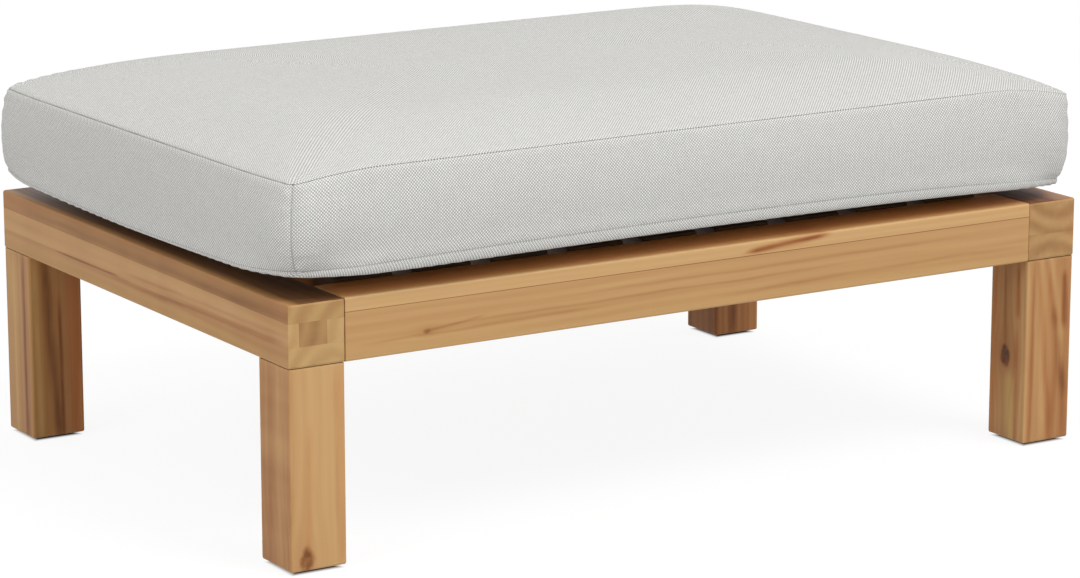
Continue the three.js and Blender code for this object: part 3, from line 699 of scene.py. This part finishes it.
# Slot in the back for the zip, and the flat band round it
ZIP_CLEARANCE = 0.3 * MM
ZIP_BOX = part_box("zip_chain")
BAND_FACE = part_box("zip_slider")[0].y - ZIP_CLEARANCE
SLOT_LOW, SLOT_HIGH = ZIP_BOX[0].z - ZIP_CLEARANCE, ZIP_BOX[1].z + ZIP_CLEARANCE
SLOT_HALF_LENGTH = ZIP_BOX[1].x + ZIP_CLEARANCE
SLOT_EDGE = 0.7 * MM
SLOT_EASE_UP = 0.1 * MM
SLOT_EASE_ALONG = 0.4 * MM
FLAT_BESIDE_ZIP = 10 * MM
FLAT_PAST_ZIP = 26 * MM
BAND_EASE = 26 * MM
TAPE_FACE = ZIP_BOX[0].y + 0.1 * MM
COVER_BEHIND_TAPE = 1.5 * MM
CORE_FROM_TAPE = 2.5 * MM
# Mesh lines beside each edge of the slot
SLOT_LINES = np.array([-3, -1.5, -0.6, 0, 0.6]) * MM


def unit(vectors):
    return vectors / np.maximum(np.linalg.norm(vectors, axis=-1, keepdims=True), 1e-12)


def bell(value, width):
    return np.exp(-((value / width) ** 2))


def smooth_step(value, low, high):
    share = np.clip((value - low) / (high - low), 0, 1)
    return share * share * (3 - 2 * share)


def lines_inward(half, step, near):
    """Places from an edge to the middle: the near ones first, then even steps."""
    start = near[-1]
    count = max(2, math.ceil((half - start) / step))
    return np.concatenate([near, start + (half - start) * np.arange(1, count + 1) / count])


def grid_lines(step, fine):
    """Lines of the panels along X and Y, and of the boxing, as shares of its height from the bottom."""
    half_x, half_y = CUSHION_LENGTH / 2, CUSHION_DEPTH / 2
    near = SEAM_LINES if fine else np.zeros(1)
    inset = lines_inward(half_y, step, near)
    middle = half_x - half_y
    between = np.linspace(-middle, middle, 2 * max(1, round(middle / step)) + 1)[1:-1]
    xs = np.concatenate([inset - half_x, between, (half_x - inset)[::-1]])
    ys = np.concatenate([inset - half_y, (half_y - inset[:-1])[::-1]])
    boxing = lines_inward(BOXING_HEIGHT / 2, step, near)
    heights = np.concatenate([boxing, BOXING_HEIGHT - boxing[:-1][::-1]])
    if fine:
        bottom_seam = BASE_Z + UNDERSIDE_LIFT
        slot = np.concatenate([SLOT_LOW - bottom_seam + SLOT_LINES, SLOT_HIGH - bottom_seam - SLOT_LINES])
        kept = heights[(heights < slot.min() - MM) | (heights > slot.max() + MM)]
        heights = np.sort(np.concatenate([kept, slot]))
    return xs, ys, heights / BOXING_HEIGHT


def nearness(from_corner, droop, arc):
    return np.clip(1 - from_corner / (droop["reach"] + arc), 0, 1) ** droop["fade"]


def at_corners(x, y, shares):
    """The share of the corner that each point is nearest to."""
    front_left, front_right, back_left, back_right = shares
    return np.where(y > 0, np.where(x > 0, back_right, back_left), np.where(x > 0, front_right, front_left))


def on_side(side, t, ring):
    """Points on one side of a ring; t runs from -1 at one corner seam to 1 at the next."""
    half_x = CUSHION_LENGTH / 2 - ring["inset"]
    half_y = CUSHION_DEPTH / 2 - ring["inset"]
    half_run, half_off = (half_x, half_y) if side in ("front", "back") else (half_y, half_x)
    radius = np.minimum(ring["radius"], 0.9 * np.minimum(half_run, half_off)) + 1e-9
    arc = radius * math.pi / 4
    straight = half_run - radius
    far = np.abs(t) * (straight + arc)
    angle = np.clip((far - straight) / radius, 0, math.pi / 4)
    run = np.sign(t) * np.where(far > straight, straight + radius * np.sin(angle), far)
    off = half_off - radius + radius * np.cos(angle)
    x, y = {"front": (run, -off), "right": (off, run), "back": (-run, off), "left": (-off, -run)}[side]
    from_corner = straight + arc - far
    amounts = []
    for spread in (TOP_DROOP, BOTTOM_DROOP, UNDERSIDE_FALL):
        left, right = spread["left"], spread["right"]
        corner = np.where(x > 0, right[0], left[0])
        middle = np.where(x > 0, right[1], left[1]) if side in ("left", "right") else spread["long"]
        amounts.append(middle + (corner - middle) * nearness(from_corner, spread, arc))
    top_droop, bottom_droop, fall = amounts
    z, weight = ring["z"], ring["weight"]
    if "turned" in ring:
        weight = 1 - ring["settled"] - fall / UNDERSIDE_LIFT * (ring["turned"] - ring["settled"])
        z = BASE_Z + UNDERSIDE_LIFT * weight
    drop = (bottom_droop + (top_droop - bottom_droop) * ring["height"]) * weight
    bottom_share, top_share = at_corners(x, y, BOTTOM_PULL_SHARES), at_corners(x, y, TOP_PULL_SHARES)
    pull_share = bottom_share + (top_share - bottom_share) * ring["height"]
    pull = ring["pull"] * nearness(from_corner, TOP_DROOP, arc) * pull_share
    return np.stack([x - np.sign(x) * pull, y - np.sign(y) * pull, z - drop], -1)


def top_ring(inset):
    left = np.clip(1 - inset / CROWN_REACH, 0, 1)
    return dict(inset=TOP_SEAM_INSET + inset * (1 - TOP_SEAM_INSET / (CUSHION_DEPTH / 2)), height=1.0,
                z=BASE_Z + UNDERSIDE_LIFT + BOXING_HEIGHT + CROWN_RISE * (1 - left**CROWN_FULLNESS),
                weight=left**2, pull=TOP_SEAM_PULL * left**2,
                radius=SEAM_CORNER_RADIUS + CROWN_ROUNDING * np.minimum(inset, CROWN_REACH))


def bottom_ring(along):
    """along is measured on the cloth, which turns in round a quarter of an ellipse, then runs level."""
    turn_length = math.pi / 2 * math.hypot(UNDERSIDE_TURN, UNDERSIDE_FALL["long"]) / math.sqrt(2)
    middle = CUSHION_DEPTH / 2
    angle = math.pi / 2 * np.clip(along / turn_length, 0, 1)
    level = np.maximum(along - turn_length, 0) * (middle - UNDERSIDE_TURN) / (middle - turn_length)
    inset = UNDERSIDE_TURN * (1 - np.cos(angle)) + level
    left = np.clip(1 - inset / UNDERSIDE_REACH, 0, 1)
    return dict(inset=inset, height=0.0, z=BASE_Z, weight=1.0, turned=np.sin(angle),
                settled=1 - left**UNDERSIDE_FLATTENING, pull=BOTTOM_SEAM_PULL * left**2,
                radius=SEAM_CORNER_RADIUS + UNDERSIDE_ROUNDING * np.minimum(inset, UNDERSIDE_REACH))


def boxing_ring(height):
    upper = height > WIDEST_SHARE
    away = np.where(upper, (height - WIDEST_SHARE) / (1 - WIDEST_SHARE),
                    (WIDEST_SHARE - height) / WIDEST_SHARE)
    full = away**BOXING_FULLNESS
    seam_pull = np.where(upper, TOP_SEAM_PULL, BOTTOM_SEAM_PULL)
    return dict(inset=np.where(upper, TOP_SEAM_INSET, 0.0) * full, height=height, weight=1.0,
                z=BASE_Z + UNDERSIDE_LIFT + BOXING_HEIGHT * height,
                pull=MID_BOXING_PULL + (seam_pull - MID_BOXING_PULL) * full,
                radius=MID_CORNER_RADIUS + (SEAM_CORNER_RADIUS - MID_CORNER_RADIUS) * away**2)


def panel_patch(xs, ys, ring_of):
    """The top or the bottom panel, from its rings."""
    x, y = np.meshgrid(xs, ys, indexing="ij")
    half_x, half_y = CUSHION_LENGTH / 2, CUSHION_DEPTH / 2
    inset_x, inset_y = half_x - np.abs(x), half_y - np.abs(y)
    inset = np.minimum(inset_x, inset_y)
    ring = ring_of(inset)
    lengthwise = np.divide(x, half_x - inset)
    crosswise = np.divide(y, np.maximum(half_y - inset, 1e-9))
    runs = {"front": lengthwise, "right": crosswise, "back": -lengthwise, "left": -crosswise}
    points = {side: on_side(side, run, ring) for side, run in runs.items()}
    long_point = np.where((y < 0)[..., None], points["front"], points["back"])
    short_point = np.where((x > 0)[..., None], points["right"], points["left"])
    return np.where((inset_y <= inset_x)[..., None], long_point, short_point)


def cushion_patches(step, fine=False):
    """The six patches, each a grid of points, and each point's distance to a seam and place along it."""
    xs, ys, hs = grid_lines(step, fine)
    patches = {"top": panel_patch(xs, ys, top_ring), "bottom": panel_patch(xs, ys, bottom_ring)}
    lines = {"top": (xs, ys), "bottom": (xs, ys)}
    for side in SIDES:
        run = xs if side in ("front", "back") else ys
        t, height = np.meshgrid(run / run[-1], hs, indexing="ij")
        patches[side] = on_side(side, t, boxing_ring(height))
        lines[side] = (run, hs * BOXING_HEIGHT)
    seams = {}
    for key, (first, second) in lines.items():
        off_first = np.minimum(first - first[0], first[-1] - first)[:, None]
        off_second = np.minimum(second - second[0], second[-1] - second)[None, :]
        run = np.where(off_second < off_first, first[:, None], second[None, :])
        corner = np.hypot(off_first, off_second)
        away = np.minimum(off_first, off_second)
        weight = np.full(away.shape, SEAM_WEIGHTS.get(key, 0.0))
        if key in SIDES:
            low_half = np.broadcast_to(second < second[-1] / 2, away.shape)
            across_weight = np.where(low_half, SEAM_WEIGHTS["bottom"], SEAM_WEIGHTS["top"])
            weight = np.where(off_second <= off_first, across_weight, SEAM_WEIGHTS["corner"])
        if key in ("top", "front"):
            weight = weight * (1 - TIGHT_SEAM_SHARE * smooth_step(first, *TIGHT_SEAM_SPAN))[:, None]
        seams[key] = dict(away=away, run=run, corner=corner, weight=weight)
    return patches, lines, seams


def sewn_together(patches):
    """Numbers the points of all patches so that those that meet at a seam share one number."""
    stacked = np.concatenate([points.reshape(-1, 3) for points in patches.values()])
    _, first, number = np.unique(np.round(stacked / WELD_STEP).astype(np.int64), axis=0,
                                 return_index=True, return_inverse=True)
    return stacked[first], number.ravel()


def spread_out(values, patches):
    """Cuts one long array back into the patches' grids."""
    result, start = {}, 0
    for key, points in patches.items():
        count = points.shape[0] * points.shape[1]
        result[key] = values[start:start + count].reshape(points.shape[:2] + values.shape[1:])
        start += count
    return result


def all_faces(patches):
    faces, start = [], 0
    for key, points in patches.items():
        index = start + np.arange(points.size // 3).reshape(points.shape[:2])
        corners = [index[:-1, :-1], index[1:, :-1], index[1:, 1:], index[:-1, 1:]]
        quads = np.stack([corner.ravel() for corner in corners], -1)
        faces.append(quads[:, ::-1] if key == "bottom" else quads)
        start += points.size // 3
    return np.concatenate(faces)


def shared_normals(patches, number, count):
    """Normals of all points, the same on both sides of a seam."""
    normals = []
    for key, points in patches.items():
        normal = unit(np.cross(np.gradient(points, axis=0), np.gradient(points, axis=1)))
        normals.append((-normal if key == "bottom" else normal).reshape(-1, 3))
    total = np.zeros((count, 3))
    np.add.at(total, number, np.concatenate(normals))
    return spread_out(unit(total)[number], patches)


def cloth_coordinates(points):
    """Places on the flat cut panel, from the lengths along its two middle lines."""
    middle = [count // 2 for count in points.shape[:2]]
    places = []
    for line, centre in ((points[:, middle[1]], middle[0]), (points[middle[0]], middle[1])):
        length = np.concatenate([[0], np.cumsum(np.linalg.norm(np.diff(line, axis=0), axis=1))])
        places.append(length - length[centre])
    return np.stack(np.meshgrid(*places, indexing="ij"), -1)


def waves(places, seed):
    """Uneven ripples along a seam, from -1 to 1."""
    drift = (0.9 * np.sin(places / (5.3 * PUCKER_PITCH) + seed)
             + 0.6 * np.sin(places / (2.1 * PUCKER_PITCH) + 2 * seed))
    strength = 0.55 + 0.45 * np.sin(places / (3.4 * PUCKER_PITCH) + 3 * seed)
    return np.sin(2 * math.pi * places / PUCKER_PITCH + 2.5 * drift) * strength


def stitched(patches, seams):
    """Sinks the seams in, swells the cloth beside them and ripples it where the thread gathers it."""
    vertices, number = sewn_together(patches)
    normals = shared_normals(patches, number, len(vertices))
    result = {}
    for order, (key, points) in enumerate(patches.items()):
        away, run, corner = seams[key]["away"], seams[key]["run"], seams[key]["corner"]
        groove = -GROOVE_DEPTH * seams[key]["weight"] * bell(away, GROOVE_WIDTH)
        swell = SWELL_HEIGHT * bell(away - SWELL_FROM_SEAM, 0.7 * SWELL_FROM_SEAM)
        fade = (away / PUCKER_REACH) * np.exp(1 - away / PUCKER_REACH)
        gather = 1 + GATHER_STRENGTH * bell(corner, GATHER_REACH)
        ripple = PUCKER_HEIGHT * fade * gather * waves(run, 1.0 + order)
        result[key] = points + normals[key] * (groove + swell + ripple)[..., None]
    return result


def resampled(values, old_lines, new_lines):
    """Smooth values of a coarse grid at a finer grid's lines."""
    for axis in (0, 1):
        old, new = old_lines[axis], new_lines[axis]
        place = np.interp(new, old, np.arange(len(old)))
        left = np.clip(np.floor(place).astype(int), 0, len(old) - 2)
        part = (place - left).reshape((-1, 1, 1) if axis == 0 else (1, -1, 1))
        before, here, there, after = (
            np.take(values, np.clip(left + shift, 0, len(old) - 1), axis=axis) for shift in (-1, 0, 1, 2))
        values = here + 0.5 * part * (there - before + part * (
            2 * before - 5 * here + 4 * there - after + part * (3 * (here - there) + after - before)))
    return values


def smoothed(values, lines, reach):
    """Values averaged over the reach, with nothing beyond the edges."""
    for axis in (0, 1):
        step = np.mean(np.diff(lines[axis]))
        count = max(1, int(reach / step))
        weights = np.hanning(2 * count + 3)[1:-1]
        values = np.apply_along_axis(np.convolve, axis, values, weights / weights.sum(), "same")
    return values


def simulated_creases():
    """Inflates the sewn cover with a little spare cloth at its seams, and keeps the creases that form."""
    patches, lines, seams = cushion_patches(COARSE_STEP)
    vertices, number = sewn_together(patches)
    cover = add_mesh("cover_simulated", vertices.tolist(), number[all_faces(patches)].tolist())
    away = np.zeros(len(vertices))
    away[number] = np.concatenate([seams[key]["away"].ravel() for key in patches])
    pinned, spare = cover.vertex_groups.new(name="pinned"), cover.vertex_groups.new(name="spare")
    pinned.add(np.nonzero(away < 0.1 * MM)[0].tolist(), 1.0, "REPLACE")
    for index, weight in enumerate(bell(away, CREASE_REACH)):
        spare.add([index], float(weight), "REPLACE")
    cloth = cover.modifiers.new("cloth", "CLOTH")
    settings = cloth.settings
    settings.use_pressure = True
    settings.uniform_pressure_force = COVER_PRESSURE
    settings.effector_weights.gravity = 0
    settings.vertex_group_mass = "pinned"
    settings.vertex_group_shrink = "spare"
    settings.shrink_min, settings.shrink_max = 0.0, -SPARE_CLOTH_SHARE
    cloth.point_cache.frame_start, cloth.point_cache.frame_end = 1, SIMULATED_FRAMES
    scene = bpy.context.scene
    for moment in range(1, SIMULATED_FRAMES + 1):
        scene.frame_set(moment)
    settled = cover.evaluated_get(bpy.context.evaluated_depsgraph_get()).to_mesh()
    places = np.empty(len(vertices) * 3)
    settled.vertices.foreach_get("co", places)
    scene.frame_set(1)
    bpy.data.objects.remove(cover)
    moved = places.reshape(-1, 3) - vertices
    length = np.maximum(np.linalg.norm(moved, axis=1, keepdims=True), 1e-9)
    moved *= np.minimum(1, MOVEMENT_CAP / length)
    creases = {}
    for key, values in spread_out(moved[number], patches).items():
        values = values - smoothed(values, lines[key], CREASE_REACH)
        if key in SIDES:
            height = lines[key][1] - lines[key][1][0]
            values = values * smooth_step(height, 0, SMOOTH_ABOVE_BOTTOM_SEAM)[None, :, None]
        creases[key] = (values, lines[key])
    return creases


def sink_zip(points):
    """Brings the back to the flat band beside the zip, and sinks the slot between its two edges."""
    x, y, z = points[..., 0], points[..., 1], points[..., 2]
    middle = (SLOT_LOW + SLOT_HIGH) / 2
    beyond = np.abs(z - middle) - (SLOT_HIGH - SLOT_LOW) / 2
    past_end = np.abs(x) - SLOT_HALF_LENGTH
    apart = np.hypot(np.maximum(beyond - FLAT_BESIDE_ZIP, 0), np.maximum(past_end - FLAT_PAST_ZIP, 0))
    y = y + (BAND_FACE - y) * (1 - smooth_step(apart, 0, BAND_EASE))
    in_height = 1 - smooth_step(beyond, -SLOT_EDGE, SLOT_EASE_UP)
    in_length = 1 - smooth_step(past_end, -SLOT_EDGE, SLOT_EASE_ALONG)
    y = y + (TAPE_FACE - COVER_BEHIND_TAPE - y) * in_height * in_length
    return np.stack([x, y, z], -1)


def lay_down(points):
    """Turns and shifts the cushion to where it lies."""
    return points @ np.array(Matrix.Rotation(CUSHION_TURN, 3, "Z")).T + np.array(CUSHION_SHIFT)


def sewn_mesh(name, patches, seams, material):
    """One closed mesh from the patches, with the cloth's coordinates and the seams' distances."""
    vertices, number = sewn_together(patches)
    faces = all_faces(patches)
    piece = add_mesh(name, vertices.tolist(), number[faces].tolist(), material)
    mesh = piece.data
    cloth = np.concatenate([cloth_coordinates(points).reshape(-1, 2) for points in patches.values()])
    mesh.uv_layers.new(name="cloth").data.foreach_set("uv", cloth[faces.ravel()].ravel().astype(np.float32))
    for attribute, field in (("seam_distance", "away"), ("seam_run", "run"), ("seam_weight", "weight")):
        values = np.concatenate([seams[key][field].ravel() for key in patches])
        layer = mesh.attributes.new(attribute, "FLOAT", "CORNER")
        layer.data.foreach_set("value", values[faces.ravel()].astype(np.float32))
    return piece


def make_cover():
    patches, lines, seams = cushion_patches(FINE_STEP, fine=True)
    for key, (creases, coarse_lines) in simulated_creases().items():
        kept = BOTTOM_CREASE_SHARE if key == "bottom" else 1.0
        patches[key] = patches[key] + kept * resampled(creases, coarse_lines, lines[key])
    patches = {key: lay_down(points) for key, points in stitched(patches, seams).items()}
    patches["back"] = sink_zip(patches["back"])
    cover = sewn_mesh("cover", patches, seams, fabric())
    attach(cover, "cushion")
    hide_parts("cushion_cover")


def make_core():
    patches, _, seams = cushion_patches(CORE_STEP)
    vertices, number = sewn_together(patches)
    normals = shared_normals(patches, number, len(vertices))
    patches = {key: lay_down(points - CORE_INSET * normals[key]) for key, points in patches.items()}
    patches["back"][..., 1] = np.minimum(patches["back"][..., 1], TAPE_FACE - CORE_FROM_TAPE)
    core = sewn_mesh("core", patches, seams, foam_finish())
    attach(core, "cushion")
    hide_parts("foam_core")


# Zip and its stitches
COIL_PITCH = 2.0 * MM
COIL_WIRE = 0.3 * MM
WIRE_SIDES = 5
COIL_STEPS_A_TURN = 8
COIL_FROM_END = 2 * MM
COIL_BEHIND_FACE = 0.75 * MM
COIL_DEPTH = 0.42 * MM
COIL_MIDDLE = 0.55 * MM
COIL_REACH = 0.95 * MM
TAPE_STEPS = 120
# No path of a wire or thread here runs this way
OFF_ALL_PATHS = (0.35, 0.9, 0.26)
# Section of one tape: distance from the middle line, or None at its outer edge, and height from the back
TAPE_SECTION = [(0.4 * MM, 0), (None, 0), (None, 0.5 * MM), (1.9 * MM, 0.55 * MM), (1.6 * MM, 0.8 * MM),
                (0.4 * MM, 0.8 * MM)]
STITCH_ROWS = 2.4 * MM
STITCH_STEP = 4.2 * MM
STITCH_HALF_LENGTH = 1.6 * MM
STITCH_RISE = 0.28 * MM
STITCH_SUNK = 0.12 * MM
THREAD_RADIUS = 0.35 * MM
THREAD_SIDES = 6


def wall_faces(rings, sides):
    """Numbers of the points of closed rings, and the quads between each ring and the next."""
    index = np.arange(rings * sides).reshape(rings, sides)
    after = np.roll(index, -1, axis=1)
    quads = np.stack([index[:-1], after[:-1], after[1:], index[1:]], -1).reshape(-1, 4)
    return index, quads.tolist()


def tube(path, radius, sides):
    """Rings of points round a path, and the faces between them and over both ends."""
    ahead = unit(np.gradient(path, axis=0))
    first = unit(np.cross(ahead, OFF_ALL_PATHS))
    second = np.cross(ahead, first)
    turn = np.arange(sides) * 2 * math.pi / sides
    radius = np.broadcast_to(radius, len(path))[:, None, None]
    ring = first[:, None] * np.cos(turn)[None, :, None] + second[:, None] * np.sin(turn)[None, :, None]
    points = (path[:, None] + radius * ring).reshape(-1, 3)
    index, quads = wall_faces(len(path), sides)
    return points, quads + [index[0][::-1].tolist(), index[-1].tolist()]


def joined(parts):
    vertices, faces, start = [], [], 0
    for points, part_faces in parts:
        vertices.append(np.asarray(points))
        faces += [[index + start for index in face] for face in part_faces]
        start += len(points)
    return np.concatenate(vertices), faces


def small_piece(name, parts, material, body):
    """One mesh from many small parts, riding a body."""
    vertices, faces = joined(parts)
    piece = add_mesh(name, vertices.tolist(), faces, material)
    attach(piece, body)
    return piece


def zip_tape(low, high, middle, side):
    edge = (high.z - low.z) / 2
    section = [(edge if z is None else z, low.y + y) for z, y in TAPE_SECTION]
    points = [(x, y, middle + side * z) for x in np.linspace(low.x, high.x, TAPE_STEPS) for z, y in section]
    index, quads = wall_faces(TAPE_STEPS, len(section))
    ends = [index[0].tolist()[::-side], index[-1].tolist()[::side]]
    return points, [quad[::side] for quad in quads] + ends


def zip_coil(low, high, middle, side):
    turns = (high.x - low.x - 2 * COIL_FROM_END) / COIL_PITCH
    turned = np.arange(int(turns * COIL_STEPS_A_TURN)) / COIL_STEPS_A_TURN
    angle = 2 * math.pi * turned
    ahead = 0.25 if side > 0 else 0
    path = np.stack([low.x + COIL_FROM_END + (turned + ahead) * COIL_PITCH,
                     high.y - COIL_BEHIND_FACE + COIL_DEPTH * np.sin(angle),
                     middle + side * (COIL_MIDDLE + COIL_REACH * np.cos(angle))], -1)
    return tube(path, COIL_WIRE, WIRE_SIDES)


def make_zip(tape, thread):
    low, high = ZIP_BOX
    middle = (low.z + high.z) / 2
    parts = [make(low, high, middle, side) for side in (-1, 1) for make in (zip_tape, zip_coil)]
    chain = small_piece("zip_coil", parts, tape, "cushion")
    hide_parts("zip_chain")

    stitches = []
    count = int(2 * SLOT_HALF_LENGTH / STITCH_STEP)
    share = np.linspace(-1, 1, 6)
    for z in (SLOT_LOW - STITCH_ROWS, SLOT_HIGH + STITCH_ROWS):
        for x in (np.arange(count) + 0.5 - count / 2) * STITCH_STEP:
            arch = BAND_FACE + STITCH_RISE * (1 - share**2) - STITCH_SUNK
            path = np.stack([x + STITCH_HALF_LENGTH * share, arch, np.full(len(share), z)], -1)
            stitches.append(tube(path, THREAD_RADIUS * np.sqrt(1.05 - share**2), THREAD_SIDES))
    small_piece("zip_stitches", stitches, thread, "cushion")


# Small screws; a profile is radius and height, from the tip to the rim of the head
SLAT_SCREW = [(1.9 * MM, -26 * MM), (1.9 * MM, -2.4 * MM), (4.15 * MM, -0.25 * MM)]
SLAT_SCREW_FROM_END = 10.5 * MM
CLEAT_SCREW = [(2 * MM, -12 * MM), (2 * MM, 0.05 * MM), (4.3 * MM, 0.05 * MM), (4.2 * MM, 1.2 * MM),
               (3.2 * MM, 2 * MM)]
CLEAT_SCREW_SHARES = (-0.88, -0.44, 0.0, 0.44, 0.88)
SCREW_SIDES = 24
CROSS_REACH = 2.1 * MM
CROSS_HALF_WIDTH = 0.42 * MM
CROSS_DEPTH = 1.3 * MM
CROSS_FLOOR_SHARE = 0.55


def screw(profile):
    """A screw that points down from the origin, with a cross recess in its head."""
    turn = np.arange(SCREW_SIDES) * 2 * math.pi / SCREW_SIDES
    points = [(radius * math.cos(angle), radius * math.sin(angle), height)
              for radius, height in profile for angle in turn]
    index, faces = wall_faces(len(profile), SCREW_SIDES)
    faces.append(index[0][::-1].tolist())
    outline = []
    for quarter in range(4):
        c, d = math.cos(quarter * math.pi / 2), math.sin(quarter * math.pi / 2)
        for x, y in ((CROSS_REACH, -CROSS_HALF_WIDTH), (CROSS_REACH, CROSS_HALF_WIDTH),
                     (CROSS_HALF_WIDTH, CROSS_HALF_WIDTH)):
            outline.append((x * c - y * d, x * d + y * c))
    corners = len(outline)
    top = profile[-1][1]
    rim, floor = len(points), len(points) + corners
    points += [(x, y, top) for x, y in outline]
    points += [(CROSS_FLOOR_SHARE * x, CROSS_FLOOR_SHARE * y, top - CROSS_DEPTH) for x, y in outline]
    ring = index[-1].tolist()
    for corner in range(corners):
        after = (corner + 1) % corners
        on_ring = [ring[(2 * corner + shift) % SCREW_SIDES] for shift in (-2, -1, 0)]
        faces.append([*on_ring, rim + after, rim + corner])
        faces.append([rim + corner, rim + after, floor + after, floor + corner])
    faces.append([floor + corner for corner in range(corners)])
    return np.array(points), faces


def placed_screw(profile, turn, place):
    points, faces = screw(profile)
    return points @ np.array(turn).T + np.array(place), faces


def make_screws(bright, shade_dark):
    heads = []
    for number in SLAT_NUMBERS:
        low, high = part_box(f"slat_{number}")
        for y in (low.y + SLAT_SCREW_FROM_END, high.y - SLAT_SCREW_FROM_END):
            turn = Matrix.Rotation(0.9 * number + 40 * y, 3, "Z")
            heads.append(placed_screw(SLAT_SCREW, turn, ((low.x + high.x) / 2, y, high.z)))
    # Near-black zinc on the slat screws, so that they stay dark in the shade under the cushion: painted
    # shade.
    small_piece("slat_screws", heads, shade_dark, "frame")
    heads = []
    for end, side in (("front", 1), ("back", -1)):
        low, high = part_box(f"{end}_cleat")
        middle, half = (low + high) / 2, (high - low) / 2
        for share in CLEAT_SCREW_SHARES:
            turn = Matrix.Rotation(-side * math.pi / 2, 3, "X") @ Matrix.Rotation(3 * share, 3, "Z")
            place = (middle.x + share * half.x, middle.y + side * half.y, middle.z)
            heads.append(placed_screw(CLEAT_SCREW, turn, place))
    small_piece("cleat_screws", heads, bright, "frame")


# Stage, light and camera
AMBIENT_LEVEL = 0.38
AMBIENT_ABOVE = 0.69
FLOOR_TONE = 0.62
FLOOR_TONE_SEEN = 0.12
FLOOR_LIFT = 0.905
FLOOR_REACH = 12.0
CONTACT_SHADE = 11 * MM
LAMP_SIZE = 3.8
LAMPS = {
    "key": dict(place=(1.9, -4.8, 6.7), power=335.0),
    "fill": dict(place=(-5.8, -1.9, 3.5), power=118.0),
}


def make_camera():
    data = bpy.data.cameras.new("camera")
    data.sensor_width = SENSOR_MILLIMETRES
    data.lens = FOCAL_PIXELS * SENSOR_MILLIMETRES / PHOTO_WIDTH_PIXELS
    back = Vector((math.sin(VIEW_AZIMUTH) * math.cos(VIEW_ELEVATION),
                   -math.cos(VIEW_AZIMUTH) * math.cos(VIEW_ELEVATION), math.sin(VIEW_ELEVATION)))
    camera = add_object("camera", data)
    camera.location = VIEW_TARGET + VIEW_DISTANCE * back
    camera.rotation_euler = back.to_track_quat("Z", "Y").to_euler()
    bpy.context.scene.camera = camera


def seen_directly(n):
    """1 for rays from the camera, mirrors and glass, where the background shows."""
    rays = n.node("LightPath").outputs
    camera, mirror, glass = (Value(n, rays[name]) for name in
                             ("Is Camera Ray", "Is Glossy Ray", "Is Transmission Ray"))
    return n.math("MAXIMUM", n.math("MAXIMUM", camera, mirror), glass)


def make_world():
    """White where the background is seen, and a dimmer sky, brighter above, for the light."""
    n = Nodes("studio", "worlds")
    upward = n.split(n.value("TexCoord", output="Generated"))[2]
    ambient = n.value("MapRange", {0: upward, 3: AMBIENT_LEVEL, 4: AMBIENT_ABOVE})
    strength = ambient + (1.0 - ambient) * seen_directly(n)
    n.node("OutputWorld", {0: n.value("Background", {"Color": (1, 1, 1), "Strength": strength})})
    bpy.context.scene.world = n.owner


def floor_paper():
    """White paper, with its glow left out inside each leg's footprint: a painted contact shadow under the
    legs.
    """
    n = Nodes("floor_paper")
    seen = seen_directly(n)
    tone = seen * (FLOOR_TONE_SEEN - FLOOR_TONE) + FLOOR_TONE
    low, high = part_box("leg_front_right")
    x, y, _ = n.split(n.place())
    off_x = abs(abs(x) - (low.x + high.x) / 2)
    off_y = abs(abs(y) + (low.y + high.y) / 2)
    half = (high.x - low.x) / 2
    # Painted contact shadow: no glow inside each leg's footprint.
    open_floor = n.step(n.math("MAXIMUM", off_x, off_y), half - CONTACT_SHADE, half)
    glow = n.value("Emission", {"Color": (1, 1, 1), "Strength": seen * open_floor * FLOOR_LIFT})
    diffuse = n.value("BsdfDiffuse", {"Color": n.join(tone, tone, tone)})
    n.node("OutputMaterial", {0: n.value("AddShader", {0: diffuse, 1: glow})})
    return n.owner


def make_stage():
    bpy.context.scene.view_settings.view_transform = "Standard"
    make_world()
    corners = [(x * FLOOR_REACH, y * FLOOR_REACH, 0) for x, y in ((-1, -1), (1, -1), (1, 1), (-1, 1))]
    add_mesh("floor", corners, [(0, 1, 2, 3)], floor_paper())
    for name, lamp in LAMPS.items():
        data = bpy.data.lights.new(name, "AREA")
        data.size = LAMP_SIZE
        data.energy = lamp["power"]
        light = add_object(name, data)
        light.location = lamp["place"]
        light.rotation_euler = Vector(lamp["place"]).to_track_quat("Z", "Y").to_euler()


def dress_nodes(metal):
    """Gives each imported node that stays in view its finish."""
    finishes = wood_finishes()
    pull = nickel()
    finishes |= {"corner_bracket": metal, "bracket_screw": metal, "leg_dowel": beech(),
                 "foot_glide": glide_plastic(), "zip_slider": pull, "zip_pull": pull}
    for name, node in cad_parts.items():
        fitting = [finish for start, finish in finishes.items() if name.startswith(start)]
        if fitting:
            node.data.materials.clear()
            node.data.materials.append(fitting[0])


make_camera()
make_stage()
steel = zinc("zinc_plate", (0.50, 0.51, 0.53), (0.66, 0.665, 0.67))
# Painted shade: near-black zinc for the slat screws, which show only in the shade under the cushion.
shade_dark_zinc = zinc("shade_dark_zinc_plate", (0.018, 0.018, 0.019), (0.035, 0.035, 0.036))
dress_nodes(steel)
make_core()
make_cover()
make_zip(tape_finish(), stitch_thread())
make_screws(steel, shade_dark_zinc)
